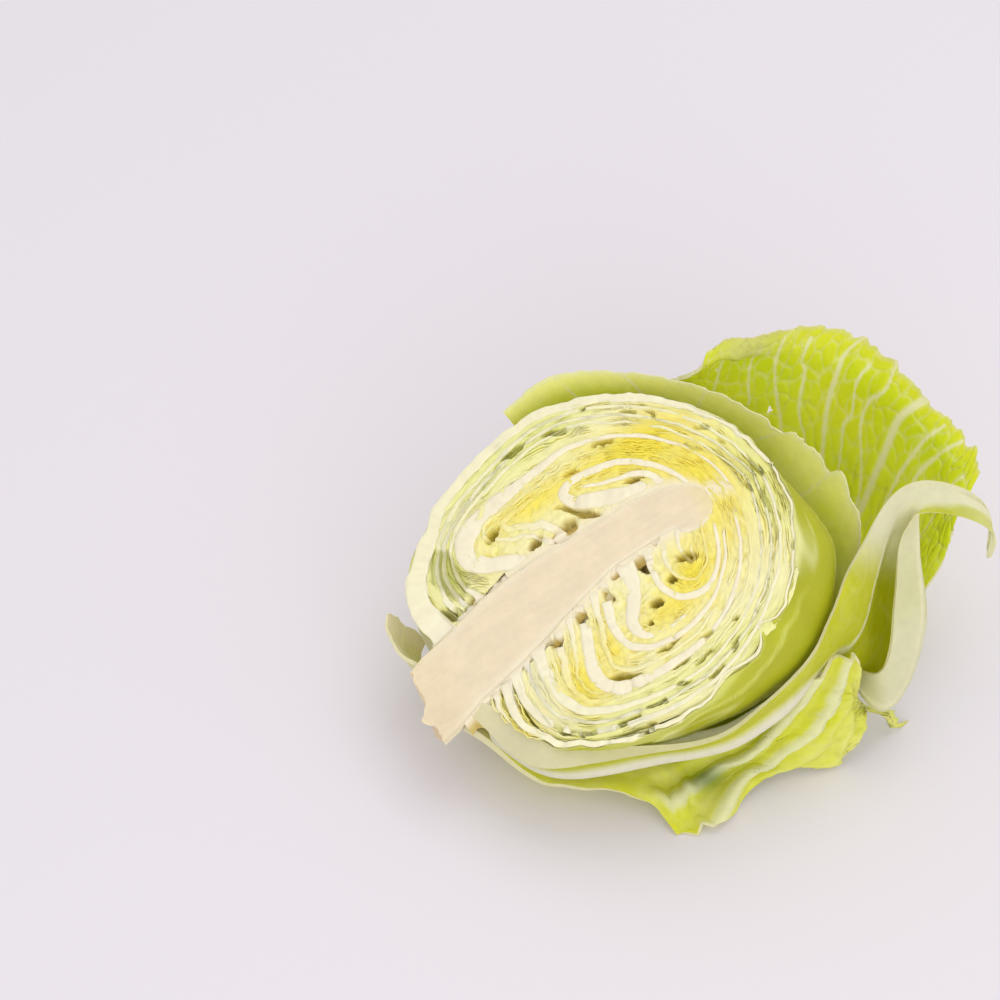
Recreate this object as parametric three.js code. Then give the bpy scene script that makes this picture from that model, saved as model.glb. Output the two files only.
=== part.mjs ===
// Half of a savoy cabbage, cut lengthwise through its core, lying on its round back with the cut face up.
// Sizes are in millimetres. The row frame has +Z up, its origin on the flat spot that the half rests on, and
// the cut face leaning towards -Y and a little towards -X.
//
// The head frame is (a, b, n): a runs along the core from the stem to the crown, b across the cut face, and n
// out of the cut face, so that the whole head lies at n <= 0. Leaves are nested as they grow:
//   core           the solid stalk, a half cone that bends a little
//   wrapper leaves closed leaves that go from the stem, round the back of the head, to the crown
//   inner leaves   the folded leaves of the heart, each with its thick rib rooted at the core
//   loose leaves   outer leaves that have come away from the head and carry it on the table
import * as THREE from "three";
import { mergeVertices } from "three/addons/utils/BufferGeometryUtils.js";

// ---- Driving dimensions ----------------------------------------------------------------------------------
const FACE_HEIGHT = 92; // middle of the cut face above the table
const HEADING = 19.2; // degrees that the core turns away from +X
const PITCH = 27.7; // degrees that the crown end of the core is raised
const ROLL = 14.8; // degrees that the cut face rolls about the core, towards the front
const HEART_CENTRE = { a: 0, b: 5 }; // middle of the cut face
const HEART_DEPTH = 64; // radius in depth that the inner leaves close in on
const HEART_LEVELS = [0, 17, 36]; // depths below the cut face at which an inner leaf is shaped
// The core's line as (a, b), and its radius as (a, radius).
const CORE_LINE = [[-105, -11], [-80, -4], [-60, 1], [-30, 7], [0, 10.5], [30, 10.5], [60, 5], [85, 0]];
const CORE_RADIUS = [[-104, 18.5], [-95, 18.8], [-80, 17.6], [-60, 18.3], [-40, 17.2], [-25, 15.2],
  [-10, 12.8], [5, 11.2], [22, 11], [34, 10.4], [43, 8], [49, 4.5], [52, 1]];
const TOUCHES = [[-3, 8, 21], [71, 49, 6], [101, -43.5, 4]]; // where it rests on the table: [x, y, reach]
const REST_CLEARANCE = 1.2; // least height of the leaves above the table round those places
const CORE_GAP = 0.7; // between the core and the foot of each leaf

const COLOURS = {
  core: 0xefe0bb, rib: 0xf0ecd4, paleLeaf: 0xdfe6a6, greenLeaf: 0xc4d22e, deepLeaf: 0xbccd1c,
  heartLeaf: 0xece27a,
};

// ---- Curves ----------------------------------------------------------------------------------------------
const radians = THREE.MathUtils.degToRad;
const lerp = THREE.MathUtils.lerp;
const smooth = (x) => THREE.MathUtils.smoothstep(x, 0, 1);

/** Smooth curve through [x, y] or [x, y, z] points. */
const curveThrough = (points) =>
  new THREE.CatmullRomCurve3(points.map(([x, y, z = 0]) => new THREE.Vector3(x, y, z)), false, "centripetal");

/** Smooth bump of height 1 about a middle. */
const bell = (x, middle, spread) => Math.exp(-(((x - middle) / spread) ** 2));

/** Straight-line reading of a [key, value] table. */
function table(rows, key) {
  if (key <= rows[0][0]) return rows[0][1];
  for (let i = 1; i < rows.length; i++) {
    const [k0, v0] = rows[i - 1];
    const [k1, v1] = rows[i];
    if (key <= k1) return lerp(v0, v1, (key - k0) / (k1 - k0));
  }
  return rows[rows.length - 1][1];
}

const coreLine = (a) => table(CORE_LINE, a);
const coreRadius = (a) => table(CORE_RADIUS, a);

/** Point at (a, distance from the core's line, turn about it): turn 0 is the +b side, 180 the -b side. */
function round(a, distance, turn) {
  const t = radians(turn);
  return new THREE.Vector3(a, coreLine(a) + distance * Math.cos(t), -distance * Math.sin(t));
}

/** Moves a point that would lie in the core out to its surface and the gap that leaves keep to it. */
function clearOfCore(p) {
  const away = Math.hypot(p.y - coreLine(p.x), p.z);
  const least = coreRadius(p.x) + CORE_GAP;
  if (p.x > CORE_RADIUS[CORE_RADIUS.length - 1][0] || away >= least) return p;
  p.y = coreLine(p.x) + ((p.y - coreLine(p.x)) * least) / away;
  p.z *= least / away;
  return p;
}

// ---- Solids ----------------------------------------------------------------------------------------------
/** One closed geometry from points and triangles: collapsed triangles are dropped, faces turned outwards. */
function closedGeometry(points, triangles) {
  const raw = new THREE.BufferGeometry();
  raw.setAttribute("position", new THREE.Float32BufferAttribute(points.flatMap((p) => [p.x, p.y, p.z]), 3));
  raw.setIndex(triangles.flat());
  const merged = mergeVertices(raw, 1e-3);
  const position = merged.attributes.position;
  const index = merged.index.array;
  const corner = (i) => new THREE.Vector3().fromBufferAttribute(position, i);
  const kept = [];
  let volume = 0;
  for (let i = 0; i < index.length; i += 3) {
    const [p, q, r] = [index[i], index[i + 1], index[i + 2]];
    if (p === q || q === r || p === r) continue;
    kept.push([p, q, r]);
    volume += corner(p).dot(corner(q).cross(corner(r))) / 6;
  }
  merged.setIndex((volume < 0 ? kept.map(([p, q, r]) => [p, r, q]) : kept).flat());
  merged.computeVertexNormals();
  return merged;
}

/** Closed solid between two alike grids of points, front[i][j] and back[i][j], with walls round the edges. */
function gridSolid(front, back) {
  const rows = front.length;
  const columns = front[0].length;
  const points = [...front.flat(), ...back.flat()];
  const at = (side, i, j) => side * rows * columns + i * columns + j;
  const triangles = [];
  const quad = (p, q, r, s) => triangles.push([p, q, r], [p, r, s]);
  for (let i = 0; i + 1 < rows; i++) {
    for (let j = 0; j + 1 < columns; j++) {
      quad(at(0, i, j), at(0, i + 1, j), at(0, i + 1, j + 1), at(0, i, j + 1));
      triangles.push([at(1, i, j), at(1, i + 1, j + 1), at(1, i + 1, j)]);
      triangles.push([at(1, i, j), at(1, i, j + 1), at(1, i + 1, j + 1)]);
    }
  }
  for (let i = 0; i + 1 < rows; i++) {
    quad(at(0, i, 0), at(1, i, 0), at(1, i + 1, 0), at(0, i + 1, 0));
    quad(at(0, i, columns - 1), at(0, i + 1, columns - 1), at(1, i + 1, columns - 1), at(1, i, columns - 1));
  }
  for (let j = 0; j + 1 < columns; j++) {
    quad(at(0, 0, j), at(0, 0, j + 1), at(1, 0, j + 1), at(1, 0, j));
    quad(at(0, rows - 1, j), at(1, rows - 1, j), at(1, rows - 1, j + 1), at(0, rows - 1, j + 1));
  }
  return closedGeometry(points, triangles);
}

/** Unit normals of a grid of points, from each point's neighbours. */
function gridNormals(grid) {
  const rows = grid.length;
  const columns = grid[0].length;
  return grid.map((row, i) =>
    row.map((_, j) => {
      const along = grid[Math.min(i + 1, rows - 1)][j].clone().sub(grid[Math.max(i - 1, 0)][j]);
      let across = row[Math.min(j + 1, columns - 1)].clone().sub(row[Math.max(j - 1, 0)]);
      if (across.length() < 1e-6) {
        const inner = grid[i === 0 ? 1 : i - 1];
        across = inner[Math.min(j + 1, columns - 1)].clone().sub(inner[Math.max(j - 1, 0)]);
      }
      return along.cross(across).normalize();
    }),
  );
}

/**
 * A leaf blade on rows by columns cells: the middle surface at(u, v), moved outwards by lift(u, v) and made
 * thickness(u, v) thick, with vein(u, v) added to its outer face. settle gives each point of the faces its
 * last place, from its own place, u, v and the middle surface's point.
 */
function bladeSolid({ at, thickness, rows, columns, lift = () => 0, vein = () => 0, settle = (p) => p }) {
  const us = Array.from({ length: rows + 1 }, (_, i) => i / rows);
  const vs = Array.from({ length: columns + 1 }, (_, j) => j / columns);
  const flat = us.map((u) => vs.map((v) => at(u, v)));
  const rise = gridNormals(flat);
  const middle = flat.map((row, i) => row.map((p, j) => p.addScaledVector(rise[i][j], lift(us[i], vs[j]))));
  const normals = gridNormals(middle);
  const side = (sign) =>
    middle.map((row, i) =>
      row.map((p, j) => {
        const [u, v] = [us[i], vs[j]];
        const shift = sign * (thickness(u, v) / 2) + (sign > 0 ? vein(u, v) : 0);
        return settle(p.clone().addScaledVector(normals[i][j], shift), u, v, p);
      }),
    );
  return gridSolid(side(1), side(-1));
}

// ---- Core ------------------------------------------------------------------------------------------------
const CORE_STATIONS = 17;
const CORE_SIDES = 10;

/** Half cone with a flat top on the cut face, a bent line and an uneven cut across the stem end. */
function coreGeometry() {
  const first = CORE_RADIUS[0][0];
  const last = CORE_RADIUS[CORE_RADIUS.length - 1][0];
  const rings = [];
  for (let i = 0; i <= CORE_STATIONS; i++) {
    const a = lerp(first, last, i / CORE_STATIONS);
    const ring = [];
    for (let j = 0; j <= CORE_SIDES; j++) {
      const turn = (180 * j) / CORE_SIDES;
      const p = round(a, coreRadius(a), turn);
      const broken = 2.2 * Math.sin(radians(turn * 2.3)) + 1.5 * Math.cos(radians(turn * 5)) + p.z * 0.12;
      if (i === 0) p.x += broken;
      ring.push(p);
    }
    rings.push(ring);
  }
  const points = rings.flat();
  const width = CORE_SIDES + 1;
  const triangles = [];
  for (let i = 0; i < CORE_STATIONS; i++) {
    for (let j = 0; j < width; j++) {
      const [p, q] = [i * width + j, i * width + ((j + 1) % width)];
      triangles.push([p, p + width, q + width], [p, q + width, q]);
    }
  }
  for (const [ring, flip] of [[0, false], [CORE_STATIONS, true]]) {
    const hub = points.length;
    points.push(round(rings[ring][0].x, coreRadius(rings[ring][0].x) * 0.3, 90));
    for (let j = 0; j < width; j++) {
      const [p, q] = [ring * width + j, ring * width + ((j + 1) % width)];
      triangles.push(flip ? [hub, q, p] : [hub, p, q]);
    }
  }
  return closedGeometry(points, triangles);
}

// ---- Wrapper leaves --------------------------------------------------------------------------------------
// Each wrapper leaf is a profile on the +b side and one on the -b side of the cut face, from the core to the
// crown, and a blend of the two round the back. rib is the thickness at the foot of the +b and the -b side.
const CROWN = 1.5; // b at which the wrapper leaves close over the crown
const WRAPPERS = [
  {
    name: "wrapper_leaf_1", colour: COLOURS.paleLeaf, rib: [11.6, 4.5], blade: 2.2, swell: 17,
    plus: [[-81.6, 13.8], [-84.8, 27], [-83.6, 39.4], [-77.6, 50.4], [-67, 60.5], [-54, 69.5], [-36, 77],
      [-14, 82.6], [6, 83], [26, 76.5], [45, 65], [60, 51], [72, 34], [79.5, 17], [82.5, CROWN]],
    minus: [[-67, -20], [-69, -33], [-66, -46], [-57, -58], [-41, -68], [-20, -74], [2, -76], [22, -74],
      [42, -67], [58, -56], [70, -42], [78, -26], [82, -11], [82.5, CROWN]],
  },
  {
    name: "wrapper_leaf_2", colour: COLOURS.paleLeaf, rib: [3.6, 5], blade: 1.8, swell: 11,
    plus: [[-70.5, 17.6], [-74, 31], [-72.5, 43], [-65, 54.5], [-51, 64.5], [-31, 72.5], [-8, 77.6],
      [10, 77], [30, 69], [48, 57], [62, 41], [71.5, 23], [77.6, CROWN]],
    minus: [[-61, -17.6], [-62.5, -31], [-60.5, -42], [-54, -52.5], [-42, -61], [-25, -67], [0, -70.4],
      [20, -68.4], [38, -61.5], [54, -50], [66, -36], [74, -19], [77.6, CROWN]],
  },
  {
    name: "wrapper_leaf_3", colour: COLOURS.paleLeaf, rib: [2.6, 2.2], blade: 1.4, swell: 7,
    plus: [[-65.5, 19], [-69.5, 32], [-68.5, 43], [-61, 54], [-47, 62.5], [-29, 69.5], [-6, 74.2],
      [11, 73.4], [30, 65], [47, 52], [60, 36], [69, 19], [74, CROWN]],
    minus: [[-54.5, -16], [-56, -30], [-54.5, -41], [-49, -50.5], [-39, -58], [-23, -63.5], [0, -66.6],
      [20, -64.6], [37, -58], [52, -46.5], [63.5, -32], [70.8, -16], [74, CROWN]],
  },
  {
    name: "wrapper_leaf_4", colour: COLOURS.paleLeaf, rib: [2.6, 7], blade: 1.4, swell: 4,
    plus: [[-59.5, 20.6], [-64, 32], [-63.8, 43], [-57.5, 53.2], [-44.5, 61], [-27.5, 66.4], [-5, 70.6],
      [12, 69.6], [29, 61.5], [45.5, 48.5], [58, 32.5], [66, 16], [70.6, CROWN]],
    minus: [[-47.5, -14.5], [-48.5, -29], [-48, -40], [-43.5, -48.5], [-35, -55], [-20, -60], [0, -62.8],
      [20, -60.8], [36.5, -54], [51, -42.5], [61, -28], [67.8, -12.5], [70.6, CROWN]],
  },
];
const SLACK = { turn: 146, along: 0.74 }; // where the wrapper leaves stand off the head most
const HEAD_CENTRE = new THREE.Vector3(0, 5, 0);
const WRAPPER_ROWS = 15;
const WRAPPER_COLUMNS = 14;

/** The middle surface of a wrapper leaf: u from the core to the crown, v round the head from +b to -b. */
function wrapperSurface({ plus, minus, swell }) {
  const [plusCurve, minusCurve] = [curveThrough(plus), curveThrough(minus)];
  return (u, v) => {
    const share = (1 + Math.cos(Math.PI * v)) / 2;
    const p = plusCurve.getPointAt(u);
    const m = minusCurve.getPointAt(u);
    const a = lerp(m.x, p.x, share);
    const away = lerp(coreLine(m.x) - m.y, p.y - coreLine(p.x), share);
    const point = round(a, Math.max(0, away), 180 * v);
    const slack = bell(v, SLACK.turn / 180, 0.2) * smooth((1 - v) / 0.12) * bell(u, SLACK.along, 0.26)
      * smooth((1 - u) / 0.18);
    return point.addScaledVector(point.clone().sub(HEAD_CENTRE).normalize(), swell * slack);
  };
}

/** Thickness of a wrapper leaf, from its rib at the foot to its thin blade. */
const wrapperThickness = ({ rib, blade }) => (u, v) => {
  const foot = lerp(rib[1], rib[0], ((1 + Math.cos(Math.PI * v)) / 2) ** 2);
  return lerp(foot, blade, smooth(u / 0.42)) * (1 - 0.3 * smooth((u - 0.7) / 0.3));
};

/** A closed wrapper leaf from the core, round the back of the head, to the crown. */
function wrapperGeometry(leaf) {
  const [at, thickness] = [wrapperSurface(leaf), wrapperThickness(leaf)];
  const onFace = (p, u, v) => {
    if (v === 0 || v === 1) p.z = 0;
    return clearOfCore(p);
  };
  return bladeSolid({ at, thickness, rows: WRAPPER_ROWS, columns: WRAPPER_COLUMNS, settle: onFace });
}

// ---- Inner leaves ----------------------------------------------------------------------------------------
// Each inner leaf is its line on the cut face, from its foot at the core to its tip, with the thickness of
// its rib at the foot and along the line, and the waves of a crinkled blade.
const INNER = [
  { name: "folded_leaf_1", colour: COLOURS.rib, width: [6, 7.5, 7.5, 5, 3, 2, 1.5],
    line: [[-36, 25], [-41, 28.5], [-49.5, 33], [-55.5, 40], [-54.5, 47.4], [-47.5, 52.8], [-36, 56],
      [-22, 58], [-4, 60], [10, 60.4], [25, 55.8], [40, 46], [52, 33], [60, 18], [63, 4]] },
  { name: "heart_leaf_1", colour: COLOURS.heartLeaf, width: [2.4, 2, 1.6, 1.4], waves: 15, swing: 0.7,
    line: [[-19.5, 26], [-26.5, 33.5], [-36.5, 38.5], [-44, 43.5], [-43, 49], [-34, 51.5], [-20, 52.8],
      [-2, 54.2], [14, 54.2], [28, 49.8], [41.5, 40], [51.5, 27], [57.6, 12], [59.4, -3]] },
  { name: "heart_leaf_2", colour: COLOURS.heartLeaf, width: [2.2, 1.8, 1.5, 1.3], waves: 13, swing: 0.6,
    line: [[-14.5, 26], [-15.5, 32.5], [-23.5, 38], [-33, 42.4], [-34.5, 46.6], [-23, 48.2], [-8, 49.2],
      [8, 49.8], [24, 46], [37.5, 37.2], [47.4, 25], [53.6, 11], [55.6, -4]] },
  { name: "folded_leaf_2", colour: COLOURS.rib, width: [5.5, 6, 5, 3, 2.2, 1.6],
    line: [[29, 25], [17, 28], [6, 32.5], [-2, 38], [-3.6, 42.6], [1.5, 45.4], [13, 44.9], [25, 41.4],
      [35, 34.2], [43, 24.5], [47.5, 14]] },
  { name: "tip_leaf", colour: COLOURS.rib, width: [3, 2.4, 1.6],
    line: [[36.5, 21.8], [35.4, 27], [30, 31.8], [21, 34.8], [12, 37.6], [5, 40.6]] },
  { name: "heart_leaf_3", colour: COLOURS.heartLeaf, width: [2.4, 1.8, 1.6, 1.4], waves: 15, swing: 0.6,
    line: [[-34.6, -12.2], [-39, -25], [-41.8, -37.6], [-39, -46.6], [-31, -52.2], [-15, -56.2], [2, -57.8],
      [20, -55.6], [35.6, -48.8], [49, -38], [57.6, -24.6], [62.4, -11]] },
  { name: "heart_leaf_4", colour: COLOURS.heartLeaf, width: [2.6, 2, 1.6], waves: 5, swing: 0.8,
    line: [[-28, -9.8], [-32.4, -24], [-36.4, -36], [-35.6, -44], [-31, -48.4]] },
  { name: "ribbed_leaf_1", colour: COLOURS.rib, width: [5.5, 6.5, 6.5, 4, 2.6, 1.6],
    line: [[-20.5, -7.5], [-24.5, -20], [-28.5, -32], [-29.4, -42], [-24, -49.6], [-12, -52.8], [4, -53.4],
      [20, -51.4], [35, -44.6], [46.5, -34], [54.5, -21], [58.6, -7]] },
  { name: "heart_leaf_5", colour: COLOURS.heartLeaf, width: [3, 2.2, 1.6, 1.4], waves: 8, swing: 0.5,
    line: [[-13.5, -5.2], [-16.5, -18], [-20, -30], [-20.5, -40], [-14.5, -46], [-3, -48.4], [8, -48.8],
      [20, -46.6], [31, -41.6]] },
  { name: "ribbed_leaf_2", colour: COLOURS.rib, width: [4, 3.4, 3, 2.4, 1.6],
    line: [[-7, -3], [-10.6, -14], [-12.6, -26], [-10.8, -35], [-3.6, -41.2], [8, -43.6], [22, -41.8],
      [35, -35], [44.6, -25], [50.6, -13]] },
  { name: "ribbed_leaf_3", colour: COLOURS.rib, width: [7, 8.5, 7, 3.2, 1.8],
    line: [[5, -2], [4, -12], [0.5, -20], [-4.6, -28], [-2.6, -35], [6, -38.6], [18, -37.6]] },
  { name: "ribbed_leaf_4", colour: COLOURS.rib, width: [3.4, 3.2, 3, 2, 1.5],
    line: [[17, -1.6], [14.6, -12], [15, -22], [20, -29.6], [29, -32.2], [38, -28], [44.4, -19],
      [48.4, -8]] },
  { name: "bud_leaf_1", colour: COLOURS.heartLeaf, width: [2.4, 2, 1.5],
    line: [[24.5, -1.6], [21.6, -11], [22.8, -20], [29, -25.4], [36, -22.4], [40.4, -14], [43.4, -4]] },
  { name: "bud_leaf_2", colour: COLOURS.heartLeaf, width: [2.4, 1.6],
    line: [[32.6, -1.6], [29.6, -9], [31.6, -16.6], [34.6, -11]] },
  { name: "axil_leaf", colour: COLOURS.heartLeaf, width: [2.2, 1.8, 1.6], waves: 3, swing: 0.5, reach: 0.2,
    line: [[-73.4, -22.4], [-74, -30], [-72.6, -38]] },
];
const INNER_STEP = 5.4; // mm along a plain inner leaf
const CRINKLED_STEP = 4; // mm along a crinkled one
const WIDTH_SHARE = 0.55; // share of the line over which the rib thins to the blade

/** Closed strip that stands on its line on the cut face and closes in towards the back of the head. */
function innerGeometry({ line, width, waves = 0, swing = 0, reach = 1 }) {
  const curve = curveThrough(line);
  const count = Math.max(6, Math.round(curve.getLength() / (waves ? CRINKLED_STEP : INNER_STEP)));
  const [plusEdge, minusEdge] = [[], []];
  for (let i = 0; i <= count; i++) {
    const u = i / count;
    const p = curve.getPointAt(u);
    const ahead = curve.getTangentAt(u);
    const out = new THREE.Vector3(-ahead.y, ahead.x, 0);
    const place = Math.min(1, u / WIDTH_SHARE) * (width.length - 1);
    const low = Math.min(width.length - 2, Math.floor(place));
    const half = lerp(width[low], width[low + 1], place - low) / 2;
    const shift = swing * Math.sin(2 * Math.PI * waves * u) * smooth(u / 0.15);
    plusEdge.push(p.clone().addScaledVector(out, shift + half));
    minusEdge.push(p.clone().addScaledVector(out, shift - half));
  }
  const level = (edge, depth) => {
    const share = Math.sqrt(1 - (depth / HEART_DEPTH) ** 2);
    return edge.map((p) => clearOfCore(new THREE.Vector3(
      lerp(HEART_CENTRE.a, p.x, share), lerp(HEART_CENTRE.b, p.y, share), -depth)));
  };
  const depths = HEART_LEVELS.map((depth) => depth * reach);
  const wall = (edge) => depths.map((depth) => level(edge, depth));
  return gridSolid(wall(plusEdge), wall(minusEdge));
}

// ---- Loose leaves ----------------------------------------------------------------------------------------
// A loose leaf is a smooth surface through a net of points in the head frame, in rows from the stem to the tip.
// A point is set by off(stemAngle, turn, gap): stemAngle is measured at the head's centre from the stem, turn is
// as in round(), and gap is how far the point stands off the outermost wrapper leaf. Feet are set by
// atCore(a, turn) on the stalk, and what lies on the table or stands on it by world(x, y, z) in the row frame.

/** Turns the head frame into the row frame: roll about the core, then pitch, then heading. */
const headToTable = new THREE.Matrix4()
  .makeTranslation(0, 0, FACE_HEIGHT)
  .multiply(new THREE.Matrix4().makeRotationZ(radians(HEADING)))
  .multiply(new THREE.Matrix4().makeRotationY(-radians(PITCH)))
  .multiply(new THREE.Matrix4().makeRotationX(radians(ROLL)));
const tableToHead = headToTable.clone().invert();

/** Samples of the outermost wrapper leaf's outside, as a direction from the head's centre and a radius. */
function outsideSamples(leaf, rows, columns) {
  const [surface, thickness] = [wrapperSurface(leaf), wrapperThickness(leaf)];
  const samples = [];
  for (let i = 0; i <= rows; i++) {
    for (let j = 0; j <= columns; j++) {
      const [u, v] = [i / rows, j / columns];
      const arm = surface(u, v).sub(HEAD_CENTRE);
      samples.push({ radius: arm.length() + thickness(u, v) / 2, direction: arm.normalize() });
    }
  }
  return samples;
}
const OUTSIDE = outsideSamples(WRAPPERS[0], 40, 30);
const SHARPNESS = 250; // how closely headRadius keeps to the nearest samples

function headRadius(direction) {
  let [sum, weight] = [0, 0];
  for (const sample of OUTSIDE) {
    const w = Math.exp(SHARPNESS * (sample.direction.dot(direction) - 1));
    sum += w * sample.radius;
    weight += w;
  }
  return sum / weight;
}

/** A net point: [stemAngle, turn, gap] held as a vector, so that a leaf keeps its gap between net points. */
const off = (stemAngle, turn, gap) => new THREE.Vector3(stemAngle, turn, gap);

/** The place in the head frame of a net point, or of one between them. */
function place({ x: stemAngle, y: turn, z: gap }) {
  const [s, t] = [radians(stemAngle), radians(turn)];
  const direction = new THREE.Vector3(-Math.cos(s), Math.sin(s) * Math.cos(t), -Math.sin(s) * Math.sin(t));
  return HEAD_CENTRE.clone().addScaledVector(direction, headRadius(direction) + gap);
}

/** The net point at a place in the head frame. */
function netPoint(p) {
  const arm = p.clone().sub(HEAD_CENTRE);
  const radius = arm.length();
  arm.normalize();
  const turn = THREE.MathUtils.radToDeg(Math.atan2(-arm.z, arm.y));
  const stemAngle = THREE.MathUtils.radToDeg(Math.acos(-arm.x));
  return off(stemAngle, turn < -90 ? turn + 360 : turn, radius - headRadius(arm));
}
const inHead = (a, b, n) => netPoint(new THREE.Vector3(a, b, n));
const atCore = (a, turn) => netPoint(round(a, coreRadius(a) + CORE_GAP, turn));
const world = (x, y, z) => netPoint(new THREE.Vector3(x, y, z).applyMatrix4(tableToHead));

/** Smooth surface through a net of points: u goes down the rows and v along each row. */
function netSurface(net) {
  const rows = net.map((row) => new THREE.CatmullRomCurve3(row, false, "centripetal"));
  return (u, v) => {
    const column = rows.map((row) => row.getPoint(v));
    return place(new THREE.CatmullRomCurve3(column, false, "centripetal").getPoint(u));
  };
}

/** Waves that grow towards the tip and the side edges of a leaf. */
const ruffle = (height, alongWaves, sideWaves) => (u, v) => {
  const side = smooth((Math.abs(2 * v - 1) - 0.55) / 0.45) * smooth(u / 0.5);
  const wave = Math.sin(2 * Math.PI * alongWaves * v) + Math.sin(2 * Math.PI * sideWaves * u + 1);
  return height * Math.max(smooth((u - 0.7) / 0.3), side) * wave / 2;
};

/** Savoy blisters that bulge inwards between the ribs down a blade and the bars, its cross veins. */
const blisters = (height, ribs, bars) => (u, v) => {
  const row = bars * u + 0.5 * Math.floor(ribs * v + 1e-6);
  const bulge = Math.sqrt(Math.abs(Math.sin(Math.PI * ribs * v) * Math.sin(Math.PI * row)));
  return -height * smooth((u - 0.3) / 0.25) * bulge;
};

/** Slanting folds of a crumpled leaf, with the crest of one at u = first where v is 0. */
const folds = (height, first, spacing, slant) => (u, v) =>
  height * Math.cos((2 * Math.PI * (u - slant * v - first)) / spacing) * smooth((u - 0.42) / 0.12)
    * smooth((1 - u) / 0.15);

/** Ribs raised from the outer face of a blade, and thinning towards its tip. */
const raisedRibs = (height, ribs) => (u, v) =>
  (Math.abs(ribs * v - Math.round(ribs * v)) < 0.1 && v > 0 && v < 1
    ? height * (1 - 0.6 * u) * smooth(u / 0.3) : 0);

/** Torn margin: the tip of a leaf comes short of its net in jags, by a share of its length. */
const torn = (surface, depth, jags) => (u, v) =>
  surface(u * (1 - depth * u * u * Math.abs(Math.sin(Math.PI * jags * v))), v);

const sum = (...terms) => (u, v) => terms.reduce((total, term) => total + term(u, v), 0);

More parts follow.
